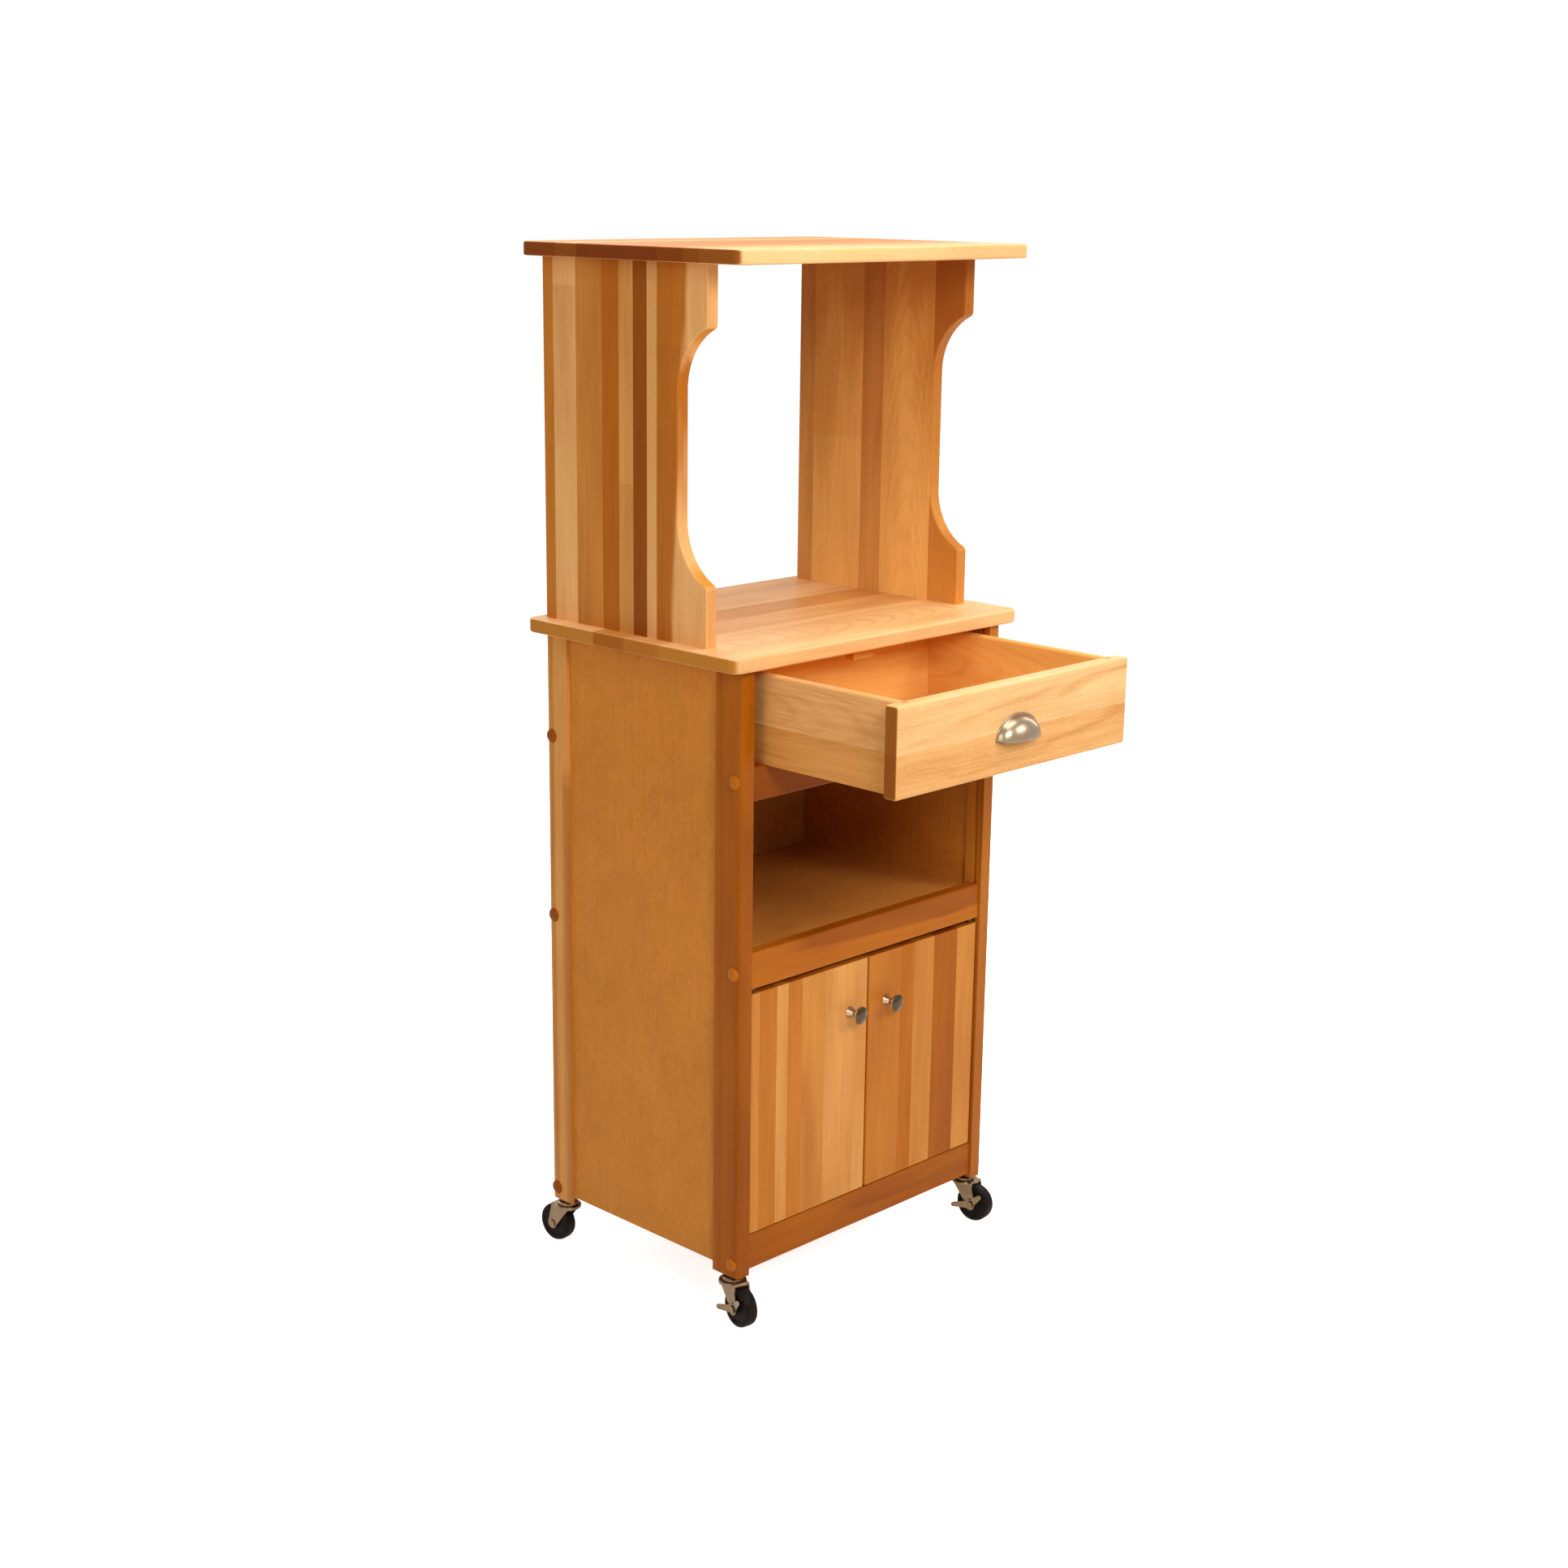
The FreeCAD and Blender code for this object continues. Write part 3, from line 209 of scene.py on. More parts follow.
class ShaderTree:
    """The emptied node tree of a material or a world."""

    def __init__(self, owner: bpy.types.Material | bpy.types.World) -> None:
        """Takes over the owner's tree and empties it.

        Args:
            owner: The material or world.
        """
        owner.use_nodes = True
        self.tree = owner.node_tree
        self.tree.nodes.clear()
        self.owner = owner

    @classmethod
    def material(cls, name: str) -> "ShaderTree":
        """The tree of a new material of that name."""
        return cls(bpy.data.materials.new(name))

    def node(
        self, kind: str, settings: dict | None = None, inputs: dict | None = None, out: int | str = 0
    ) -> Sock:
        """Adds any node.

        Args:
            kind: Blender's type name of the node.
            settings: Its settings, set before the sockets; "stops" fills a colour ramp.
            inputs: Socket name or number to a value or a Sock.
            out: The output socket wanted.

        Returns:
            The wanted output.
        """
        made = self.tree.nodes.new(kind)
        for key, value in (settings or {}).items():
            if key == "stops":
                self._fill_ramp(made.color_ramp, value)
            elif key == "ramp_interpolation":
                made.color_ramp.interpolation = value
            else:
                setattr(made, key, value)
        for key, value in (inputs or {}).items():
            if isinstance(value, Sock):
                self.tree.links.new(value.socket, made.inputs[key])
            else:
                made.inputs[key].default_value = value
        return Sock(self, made.outputs[out])

    @staticmethod
    def _fill_ramp(ramp: bpy.types.ColorRamp, stops: Sequence[tuple[float, tuple]]) -> None:
        """Puts the stops into a colour ramp and takes out every other one.

        Args:
            ramp: The ramp to fill.
            stops: Place and colour of each stop, in rising order.
        """
        while len(ramp.elements) > 1:
            ramp.elements.remove(ramp.elements[-1])
        ramp.elements[0].position, ramp.elements[0].color = stops[0]
        for position, colour in stops[1:]:
            ramp.elements.new(position).color = colour

    def object_point(self, unit: float = MM) -> Sock:
        """The point on the piece in its own frame, counted in a unit of so many metres."""
        return self.scaled(self.node("ShaderNodeTexCoord", out="Object"), 1.0 / unit)

    def scaled(self, vector: Sock, factor: float) -> Sock:
        """A vector times a number."""
        return self.node("ShaderNodeVectorMath", {"operation": "SCALE"}, {0: vector, "Scale": factor})

    def split(self, vector: Sock) -> list[Sock]:
        """The three parts of a vector."""
        parts = self.node("ShaderNodeSeparateXYZ", inputs={0: vector})
        return [Sock(self, output) for output in parts.socket.node.outputs]

    def join(self, x: Value, y: Value, z: Value) -> Sock:
        """A vector from three parts."""
        return self.node("ShaderNodeCombineXYZ", inputs={0: x, 1: y, 2: z})

    def noise(
        self, place: Sock, detail: float = 3.0, rough: float = 0.55, distortion: float = 0.0
    ) -> Sock:
        """Soft random value about 0.5 that changes once per unit of place.

        Args:
            place: The place at which it is read.
            detail: Number of finer layers.
            rough: Share of each finer layer.
            distortion: How far it shakes its own place.

        Returns:
            The value.
        """
        inputs = {"Vector": place, "Scale": 1.0, "Detail": detail, "Roughness": rough,
                  "Distortion": distortion}
        return self.node("ShaderNodeTexNoise", {"noise_dimensions": "3D"}, inputs)

    def stretched(
        self, axes: Sequence[Sock], scales: Sequence[float], detail: float, rough: float,
        distortion: float = 0.0
    ) -> Sock:
        """Noise that is drawn out along the axes whose scale is small.

        Args:
            axes: The three parts of the place.
            scales: Changes per unit along each of them.
            detail: Number of finer layers.
            rough: Share of each finer layer.
            distortion: How far the noise shakes its own place.

        Returns:
            The value.
        """
        place = self.join(*(part * scale for part, scale in zip(axes, scales)))
        return self.noise(place, detail, rough, distortion)

    def speckle(self, place: Sock) -> Sock:
        """One random value from 0 to 1 for each number."""
        return self.node("ShaderNodeTexWhiteNoise", {"noise_dimensions": "1D"}, {"W": place})

    def mix(self, factor: Value, first: Value, second: Value, blend: str = "MIX") -> Sock:
        """Blends two colours.

        Args:
            factor: Share of the second colour.
            first: First colour.
            second: Second colour.
            blend: Blender's name of the blend.

        Returns:
            The blended colour.
        """
        settings = {"data_type": "RGBA", "blend_type": blend, "clamp_factor": True}
        return self.node("ShaderNodeMix", settings, {0: factor, 6: first, 7: second}, out=2)

    def times(self, colour: Value, factors: Value) -> Sock:
        """A colour times another, channel by channel."""
        return self.mix(1.0, colour, factors, "MULTIPLY")

    def facing(self, axis: "Axis", low: float, high: float) -> Sock:
        """1 where the piece's own normal follows an axis, 0 where it lies across it.

        Args:
            axis: The axis.
            low: Size of the normal's part along it where the step starts.
            high: The same where the step ends.

        Returns:
            The eased value.
        """
        normal = self.node("ShaderNodeTexCoord", out="Normal")
        return abs(self.split(normal)[axis.value]).ease(low, high)

    def bump(self, height: Sock, distance: float, strength: float = 1.0) -> Sock:
        """A normal shaken by a height field whose unit is so many metres."""
        inputs = {"Height": height, "Distance": distance, "Strength": strength}
        return self.node("ShaderNodeBump", inputs=inputs)

    def finish(self, **sockets: Value) -> bpy.types.Material:
        """Adds the Principled shader and the output.

        Args:
            sockets: Principled inputs, with underscores for spaces.

        Returns:
            The finished material.
        """
        inputs = {key.replace("_", " "): value for key, value in sockets.items()}
        self.end("ShaderNodeOutputMaterial", self.node("ShaderNodeBsdfPrincipled", inputs=inputs))
        return self.owner

    def end(self, kind: str, shader: Sock) -> None:
        """Ends the tree with an output node of that type."""
        output = self.tree.nodes.new(kind)
        self.tree.links.new(shader.socket, output.inputs["Surface"])

    def shown(self) -> Sock:
        """Tells what is seen from what only gives light.

        Returns:
            1 for what the camera sees straight, in a mirror or through glass, 0 for light on a matt face.
        """
        rays = ("Is Camera Ray", "Is Glossy Ray", "Is Transmission Ray")
        camera, glossy, through = (self.node("ShaderNodeLightPath", out=ray) for ray in rays)
        return camera.at_least(glossy.at_least(through))


# ---------------------------------------------------------------- wood
class Axis(Enum):
    """A direction of the stand's frame."""

    X = 0
    Y = 1
    Z = 2


class Tone(Enum):
    """Display colours of the staves, from sapwood to heartwood."""

    CREAM = (246, 195, 134)
    PALE = (235, 176, 110)
    GOLD = (248, 188, 104)
    STRAW = (219, 153, 80)
    HONEY = (207, 136, 60)
    TAN = (196, 120, 40)
    AMBER = (184, 104, 20)
    COPPER = (168, 91, 7)
    RUSSET = (147, 75, 3)


@dataclass(frozen=True)
class Arches:
    """Nested arches, as where a stave was sawn near the bark.

    Attributes:
        centre: Place of the arches' axis across the grain, mm.
        reach: Half width that they fill, mm.
        pitch: Distance from arch to arch along the grain, mm.
        stretch: How far an arch runs out along the grain at its edge, mm.
        strength: Depth of the pattern.
        start: Shift along the grain, mm.
    """

    centre: float
    reach: float
    pitch: float = 26.0
    stretch: float = 150.0
    strength: float = 0.5
    start: float = 0.0


@dataclass(frozen=True)
class HeartAndShadow:
    """A darker streak beside a slanting line: heartwood, and on the posts' fronts painted shadow.

    Attributes:
        offset: Place of the line across the grain at the origin, mm.
        slope: Rise of the line per mm along the grain.
        width: Width of the streak, mm.
        soft: Width of its soft edge, mm.
        strength: Share of its own tone.
        tone: Its tone.
        wobble: How far its edges wander, mm.
        start: Place along the grain where it starts, mm.
        end: Place along the grain where it ends, mm.
        high: Upper edge of the stave that holds it, mm.
    """

    offset: float
    slope: float = 0.0
    width: float = 20.0
    soft: float = 6.0
    strength: float = 0.5
    tone: Tone = Tone.COPPER
    wobble: float = 14.0
    start: float = -1000.0
    end: float = 3000.0
    high: float = 5000.0


@dataclass(frozen=True)
class Staves:
    """Birch staves glued side by side, oiled and lacquered.

    Attributes:
        name: Name of the finish.
        grain: Direction of the fibres.
        across: Direction in which the staves lie side by side.
        staves: Upper edge of each stave along the across direction, mm, and its tone, in rising order.
        low: Lower edge of the first stave, mm.
        arches: Cathedral figures.
        hearts_and_shadow: Heartwood streaks, and the painted shadow on the posts' fronts.
        fibre: Depth of the fine fibre lines.
        cloud: Depth of the slow change of tone.
        end_dark: How dark the sawn ends are.
        seed: Moves the pattern.
        length: Length of the pieces that are jointed end to end into a stave, mm.
        joints: How much the tone changes from piece to piece.
        painted_shade_per_metre: How much darker the board gets per metre along the grain, as painted shade.
        painted_shade_from: Place along the grain where the painted shade is nil, mm.
    """

    name: str
    grain: Axis
    across: Axis
    staves: tuple[tuple[float, Tone], ...]
    low: float
    arches: tuple[Arches, ...] = ()
    hearts_and_shadow: tuple[HeartAndShadow, ...] = ()
    fibre: float = 1.0
    cloud: float = 1.0
    end_dark: float = 0.72
    seed: float = 0.0
    length: float = 430.0
    joints: float = 0.0
    painted_shade_per_metre: float = 0.0
    painted_shade_from: float = 0.0

    def _ramps(self, tree: ShaderTree, across: Sock) -> tuple[Sock, Sock]:
        """Tells the staves apart.

        Args:
            tree: The tree to work in.
            across: Place across the staves, mm.

        Returns:
            The tone of the stave at a place, and a number that differs from stave to stave.
        """
        high = self.staves[-1][0]
        span = max(high - self.low, 1.0)
        place = ((across - self.low) / span).clamped()
        edges = [self.low] + [edge for edge, _ in self.staves[:-1]]
        shares = [(edge - self.low) / span for edge in edges]
        tones = [(share, linear(*tone.value)) for share, (_, tone) in zip(shares, self.staves)]
        marks = [((index * 0.618 + 0.13 + self.seed) % 1.0,) * 3 + (1.0,) for index in range(len(shares))]
        flat = {"ramp_interpolation": "CONSTANT"}
        tone = tree.node("ShaderNodeValToRGB", {**flat, "stops": tones}, {0: place})
        mark = tree.node("ShaderNodeValToRGB", {**flat, "stops": list(zip(shares, marks))}, {0: place})
        return tone, tree.node("ShaderNodeSeparateColor", inputs={0: mark})

    def material(self) -> bpy.types.Material:
        """Builds the finish.

        Fibre lines are noise stretched about seventyfold along the grain. Broad flame is slower noise bent
        into bands by a sine. Clouds change the tone over a hand's width, and pores are short dark dashes.
        Sawn ends, where the piece's own normal follows the grain, are darker and show growth arcs.

        Returns:
            The material.
        """
        tree = ShaderTree.material(self.name)
        axes = tree.split(tree.object_point())
        along, side = axes[self.grain.value], axes[self.across.value]
        depth = axes[3 - self.grain.value - self.across.value]
        tone, mark = self._ramps(tree, side)
        place = (along + mark * STAVE_ALONG + self.seed * SEED_STEP, side + mark * STAVE_ACROSS, depth)

        fine = tree.stretched(place, (0.011, 0.75, 0.75), 4.0, 0.62)
        bend = tree.stretched(place, (0.0045, 0.030, 0.030), 2.0, 0.5)
        bands = ((place[1] * 0.32 + depth * 0.11 + bend * 22.0).sine() + 1.0) * 0.5
        slow = tree.stretched(place, (0.0035, 0.016, 0.016), 2.0, 0.5)
        pores = tree.stretched(place, (0.16, 1.9, 1.9), 2.0, 0.5)
        speck = tree.stretched(place, (0.42, 0.62, 0.62), 2.0, 0.6)
        shade = (
            0.5
            + (fine - 0.5) * (0.58 * self.fibre)
            + (bands - 0.5) * (bend - 0.28).clamped() * (0.30 * self.fibre)
            + (slow - 0.5) * (0.85 * self.cloud)
            + (speck - 0.5) * 0.55
            - pores.ease(0.60, 0.74) * 0.08
        )
        for arch in self.arches:
            shade = shade + self._arch_shade(tree, arch, along, side, depth)
        # Heartwood streaks, and on the posts a painted shadow, mix their tone in.
        for dark_streak in self.hearts_and_shadow:
            tone = tree.mix(self._heart_and_shadow_share(dark_streak, along, side, bend), tone, linear(*dark_streak.tone.value))
        part = ((along + mark * STAVE_JOINT) / self.length).floor()
        piece = tree.speckle(part * 1.7 + mark * 41.0)
        # The last term is painted shade: the board darkens steadily along its grain and lightens before the
        # start place.
        shade = shade + (piece - 0.5) * self.joints - (along - self.painted_shade_from) * (self.painted_shade_per_metre * MM)

        turn = tree.facing(self.grain, 0.55, 0.85)
        off_pith, under_pith = side - self.low * 0.5, depth + 55.0
        radius = (off_pith * off_pith + under_pith * under_pith).root()
        rings = ((radius * 2.1 + bend * 9.0).sine() * 0.5 + 0.5) * 0.16
        end_shade = 0.36 + rings + (speck - 0.5) * 0.5
        shade = shade * (1.0 - turn) + end_shade * turn

        colour = tree.mix(shade.clamped(), tree.times(tone, WOOD_DEEP), tree.times(tone, WOOD_LIGHT))
        ends = (self.end_dark, self.end_dark ** 1.5 * 0.88, self.end_dark ** 2 * 0.35, 1.0)
        height = fine * 0.6 + pores * 0.4
        return tree.finish(
            Base_Color=tree.mix(turn, colour, tree.times(colour, ends)),
            Roughness=0.42 + (fine - 0.5) * 0.12 + turn * 0.12,
            Coat_Weight=OIL_COAT,
            Coat_Roughness=0.30,
            Specular_IOR_Level=OIL_SPECULAR,
            Normal=tree.bump(height, 0.00022, 0.6),
        )

    @staticmethod
    def _arch_shade(tree: ShaderTree, arch: Arches, along: Sock, side: Sock, depth: Sock) -> Sock:
        """Nested arches: a sine of the place along the grain, drawn out by the square of the one across.

        Args:
            tree: The tree to work in.
            arch: The figure.
            along: Place along the grain, mm.
            side: Place across the staves, mm.
            depth: Place through the board, mm.

        Returns:
            What the arches add to the shade.
        """
        away = (side - arch.centre) / arch.reach
        wander = tree.stretched((along, side, depth), (0.010, 0.045, 0.02), 3.0, 0.55)
        run = along + arch.start + away * away * arch.stretch + (wander - 0.5) * 70.0
        line = (run * (math.tau / arch.pitch)).sine() * 0.5 + 0.5
        line = line * line * line
        inside = 1.0 - abs(away).ease(0.62, 1.0)
        return -(line * inside) * arch.strength * (0.35 + wander * 0.7)

    @staticmethod
    def _heart_and_shadow_share(dark_streak: HeartAndShadow, along: Sock, side: Sock, bend: Sock) -> Sock:
        """A band beside a slanting line, its edges shaken by the flame noise.

        Args:
            dark_streak: The streak.
            along: Place along the grain, mm.
            side: Place across the staves, mm.
            bend: The flame noise.

        Returns:
            Share of the streak's tone.
        """
        gap = side - along * dark_streak.slope - dark_streak.offset + (bend - 0.5) * (dark_streak.wobble * 4.0)
        start = gap.ease(-dark_streak.soft, dark_streak.soft)
        stop = 1.0 - (gap - dark_streak.width).ease(-dark_streak.soft, dark_streak.soft)
        ends = (along - dark_streak.start).ease(0.0, 60.0) * (1.0 - (along - dark_streak.end).ease(-60.0, 0.0))
        held = 1.0 - side.above(dark_streak.high)
        return start * stop * ends * held * dark_streak.strength


@dataclass(frozen=True)
class PeeledPly:
    """Rotary-peeled birch plywood, oiled: cloudy, with soft vertical flames and short flecks.

    Attributes:
        name: Name of the finish.
        grain: Direction of the fibres of the face veneer.
        colour: Display colour.
        thin: Direction through the sheet, whose cut edges show the plies.
        seed: Moves the pattern.
    """

    name: str
    grain: Axis
    colour: Colour
    thin: Axis
    seed: float = 0.0

    def material(self) -> bpy.types.Material:
        """Builds the finish.

        Clouds are two sizes of noise, a little longer along the grain, under a soft flame and a fine speckle.
        Flecks are short stretched noise. On the cut edges the plies show as stripes through the sheet.

        Returns:
            The material.
        """
        tree = ShaderTree.material(self.name)
        axes = tree.split(tree.object_point())
        along, depth = axes[self.grain.value], axes[self.thin.value]
        side = axes[3 - self.grain.value - self.thin.value]
        place = (along + self.seed * PLY_SEED_STEP, side, depth)
        big = tree.stretched(place, (0.0075, 0.0095, 0.01), 3.0, 0.55, 0.6)
        middle = tree.stretched(place, (0.026, 0.036, 0.04), 3.0, 0.6, 0.9)
        flame = tree.stretched(place, (0.010, 0.14, 0.1), 4.0, 0.6)
        speck = tree.stretched(place, (0.34, 0.42, 0.5), 2.0, 0.6)
        fleck = tree.stretched(place, (0.10, 1.1, 1.0), 2.0, 0.5)
        shade = (
            0.5
            + (big - 0.5) * 0.40
            + (middle - 0.5) * 0.34
            + (flame - 0.5) * 0.30
            + (speck - 0.5) * 0.75
            - fleck.ease(0.62, 0.76) * 0.10
        )
        tone = linear(*self.colour)
        colour = tree.mix(shade.clamped(), tree.times(tone, PLY_DEEP), tree.times(tone, PLY_LIGHT))
        plies = (depth * (math.tau / PLY_PAIR)).sine().above(0.0)
        edge = tree.mix(plies, tree.times(colour, PLY_CROSS), colour)
        return tree.finish(
            Base_Color=tree.mix(tree.facing(self.thin, 0.4, 0.7), edge, colour),
            Roughness=0.44 + (middle - 0.5) * 0.10,
            Coat_Weight=OIL_COAT,
            Coat_Roughness=0.32,
            Specular_IOR_Level=OIL_SPECULAR,
            Normal=tree.bump(speck * 0.5 + flame * 0.5, 0.00020, 0.5),
        )


# ---------------------------------------------------------------- other finishes
@dataclass(frozen=True)
class Metal:
    """A plated or brushed metal.

    Attributes:
        name: Name of the finish.
        colour: Display colour.
        roughness: Mean roughness.
        brushed: Direction of the brush marks, or None where the metal is only plated.
        stain_and_reflection: Depth of the dull patches; on the castors also painted reflection.
        front: Factors that darken the metal in front of a line, a painted dark reflection; None where even.
        dark_reflection_line: Place of that line along Y, mm.
    """

    name: str
    colour: Colour
    roughness: float
    brushed: Axis | None = None
    stain_and_reflection: float = 0.1
    front: Colour | None = None
    dark_reflection_line: float = 0.0

    def material(self) -> bpy.types.Material:
        """Builds the finish: cloudy roughness and tone, with fine scratches along the brush direction.

        Returns:
            The material.
        """
        tree = ShaderTree.material(self.name)
        axes = tree.split(tree.object_point())
        cloud = tree.stretched(axes, (0.09, 0.09, 0.09), 3.0, 0.6)
        scales = [1.4 if self.brushed is None else 9.0] * 3
        if self.brushed is not None:
            scales[self.brushed.value] = 0.12
        mark = tree.stretched(axes, scales, 3.0, 0.6)
        # Dull patches in the tone; where they are deep, as on the castors, they are also painted reflection.
        shade = ((cloud - 0.5) * 2.2 * self.stain_and_reflection + (mark - 0.5) * self.stain_and_reflection + 0.5).clamped()
        tone = linear(*self.colour)
        colour = tree.mix(shade, toned(tone, 0.62), toned(tone, 1.22))
        # Painted dark reflection: the metal in front of the line is darkened, as if it mirrored a dark room.
        if self.front is not None:
            ahead = (self.dark_reflection_line - axes[1]).ease(-0.6, 0.6)
            colour = tree.mix(ahead, colour, tree.times(colour, (*self.front, 1.0)))
        rough = self.roughness + (mark - 0.5) * 0.16 + (0.5 - cloud) * 0.25 * (1.0 + self.stain_and_reflection)
        return tree.finish(
            Base_Color=colour,
            Metallic=1.0,
            Roughness=rough.at_least(0.08),
            Normal=tree.bump(mark, 0.00005, 0.4),
        )


@dataclass(frozen=True)
class Rubber:
    """Black rolled rubber with a brownish bloom.

    Attributes:
        name: Name of the finish.
        colour: Display colour.
        bloom: Display colour of the worn bloom.
    """

    name: str
    colour: Colour
    bloom: Colour

    def material(self) -> bpy.types.Material:
        """Builds the finish: fine grit, with patches of bloom.

        Returns:
            The material.
        """
        tree = ShaderTree.material(self.name)
        point = tree.object_point()
        grit = tree.noise(tree.scaled(point, 1.8))
        patch = tree.noise(tree.scaled(point, 0.12))
        share = (patch.ease(0.42, 0.66) * 0.75 + (grit - 0.5) * 0.4).clamped()
        return tree.finish(
            Base_Color=tree.mix(share, linear(*self.colour), linear(*self.bloom)),
            Roughness=0.62 + (grit - 0.5) * 0.3,
            Specular_IOR_Level=0.08,
            Normal=tree.bump(grit, 0.0001, 0.5),
        )


@dataclass(frozen=True)
class Moulded:
    """Moulded plastic.

    Attributes:
        name: Name of the finish.
        colour: Display colour.
        roughness: Mean roughness.
        grain: Depth of the tone change over the piece.
    """

    name: str
    colour: Colour
    roughness: float
    grain: float = 0.15

    def material(self) -> bpy.types.Material:
        """Builds the finish: a slow change of tone and a fine orange-peel surface.

        Returns:
            The material.
        """
        tree = ShaderTree.material(self.name)
        point = tree.object_point()
        fine = tree.noise(tree.scaled(point, 0.9))
        slow = tree.noise(tree.scaled(point, 0.11), 2.0)
        tone = linear(*self.colour)
        share = (slow * 0.65 + fine * 0.35).clamped()
        return tree.finish(
            Base_Color=tree.mix(share, toned(tone, 1.0 - self.grain * 1.6), toned(tone, 1.0 + self.grain)),
            Roughness=self.roughness + (fine - 0.5) * 0.1,
            Normal=tree.bump(fine, 0.00006, 0.4),
        )


# ---------------------------------------------------------------- surfaces
def grid_object(
    name: str, grids: Sequence[np.ndarray], wraps: Sequence[tuple[bool, bool]]
) -> bpy.types.Object:
    """Makes one object from grids of points.

    Args:
        name: Name of the object.
        grids: Arrays of shape rows, columns, 3, in metres.
        wraps: For each grid, whether its rows and its columns close on themselves.

    Returns:
        The object, at the origin, its doubles merged and its faces outward.
    """
    points: list[np.ndarray] = []
    faces: list[np.ndarray] = []
    base = 0
    for grid, (wrap_rows, wrap_columns) in zip(grids, wraps):
        rows, columns = grid.shape[:2]
        row = np.arange(rows if wrap_rows else rows - 1)
        column = np.arange(columns if wrap_columns else columns - 1)
        a, b = np.meshgrid(row, column, indexing="ij")
        a2, b2 = (a + 1) % rows, (b + 1) % columns
        quads = np.stack([a * columns + b, a * columns + b2, a2 * columns + b2, a2 * columns + b], axis=-1)
        faces.append(quads.reshape(-1, 4) + base)
        points.append(grid.reshape(-1, 3))
        base += rows * columns
    vertices = np.concatenate(points).astype(np.float32)
    corners = np.concatenate(faces).astype(np.int32)
    mesh = bpy.data.meshes.new(name)
    mesh.vertices.add(len(vertices))
    mesh.vertices.foreach_set("co", vertices.ravel())
    mesh.loops.add(corners.size)
    mesh.loops.foreach_set("vertex_index", corners.ravel())
    mesh.polygons.add(len(corners))
    mesh.polygons.foreach_set("loop_start", np.arange(0, corners.size, 4, dtype=np.int32))
    mesh.update(calc_edges=True)
    work = bmesh.new()
    work.from_mesh(mesh)
    bmesh.ops.remove_doubles(work, verts=work.verts, dist=WELD)
    bmesh.ops.dissolve_degenerate(work, edges=work.edges, dist=1e-7)
    bmesh.ops.recalc_face_normals(work, faces=work.faces)
    work.to_mesh(mesh)
    work.free()
    mesh.validate()
    mesh.polygons.foreach_set("use_smooth", np.ones(len(mesh.polygons), dtype=bool))
    made = bpy.data.objects.new(name, mesh)
    bpy.context.scene.collection.objects.link(made)
    mesh.set_sharp_from_angle(angle=math.radians(CREASE))
    return made


def rounded_path(corners: Sequence[Point], steps: int = 8, closed: bool = False) -> np.ndarray:
    """A flat path through corners, each rounded to its own radius.

    Each corner is replaced by the arc that touches both of its runs: the tangent length is the radius times
    the tangent of half the turn, and the arc is swept evenly about its centre.

    Args:
        corners: Two coordinates and a radius for each corner, mm.
        steps: Points per arc.
        closed: True if the path ends where it starts.

    Returns:
        Points, one per row, mm.
    """
    marks = np.array([corner[:2] for corner in corners], dtype=float)
    count = len(marks)
    parts: list[np.ndarray] = []
    for index, (_, _, radius) in enumerate(corners):
        here = marks[index]
        if radius <= 0.0 or (not closed and index in (0, count - 1)):
            parts.append(here[None, :])
            continue
        back, ahead = marks[index - 1] - here, marks[(index + 1) % count] - here
        back, ahead = back / np.linalg.norm(back), ahead / np.linalg.norm(ahead)
        half = 0.5 * math.acos(float(np.clip(np.dot(back, ahead), -1.0, 1.0)))
        middle = (back + ahead) / np.linalg.norm(back + ahead)
        centre = here + middle * (radius / math.sin(half))
        reach = radius / math.tan(half)
        start, stop = here + back * reach - centre, here + ahead * reach - centre
        share = np.linspace(0.0, 1.0, steps)[:, None]
        sweep = math.pi - 2.0 * half
        arc = (np.sin((1.0 - share) * sweep) * start + np.sin(share * sweep) * stop) / math.sin(sweep)
        parts.append(centre + arc)
    return np.concatenate(parts)


@dataclass(frozen=True)
class Place:
    """A local frame in the stand's frame.

    Attributes:
        origin: Its origin, mm.
        x: Direction of its x axis.
        y: Direction of its y axis.
        z: Direction of its z axis.
    """

    origin: Point
    x: Point = (1.0, 0.0, 0.0)
    y: Point = (0.0, 1.0, 0.0)
    z: Point = (0.0, 0.0, 1.0)

    def put(self, points: np.ndarray) -> np.ndarray:
        """Takes local points in mm to the stand's frame in metres."""
        turn = np.array([self.x, self.y, self.z], dtype=float)
        return (points @ turn + np.array(self.origin)) * MM


def turned(profile: np.ndarray, place: Place, sectors: int = 48) -> np.ndarray:
    """A turned surface: each profile point (radius, height) is carried round the local z axis.

    Args:
        profile: Radius and height, one pair per row, mm.
        place: Where the surface stands.
        sectors: Points round the axis.

    Returns:
        A grid of points, in metres.
    """
    angle = np.linspace(0.0, 2.0 * math.pi, sectors, endpoint=False)
    radius, height = profile[:, 0][:, None], profile[:, 1][:, None]
    local = np.stack([radius * np.cos(angle), radius * np.sin(angle), height + 0.0 * angle], axis=-1)
    return place.put(local)


def corner_box(node: str) -> tuple[Point, Point]:
    """Lowest and highest corner of a CAD node, mm."""
    low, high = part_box(node)
    return tuple(part / MM for part in low), tuple(part / MM for part in high)


def dress(node: str, material: bpy.types.Material) -> None:
    """Gives a CAD node a new material in every slot it has.

    Args:
        node: Name of the node.
        material: Its finish.
    """
    made = NODES[node]
    if not made.material_slots:
        made.data.materials.append(material)
    for entry in made.material_slots:
        entry.material = material


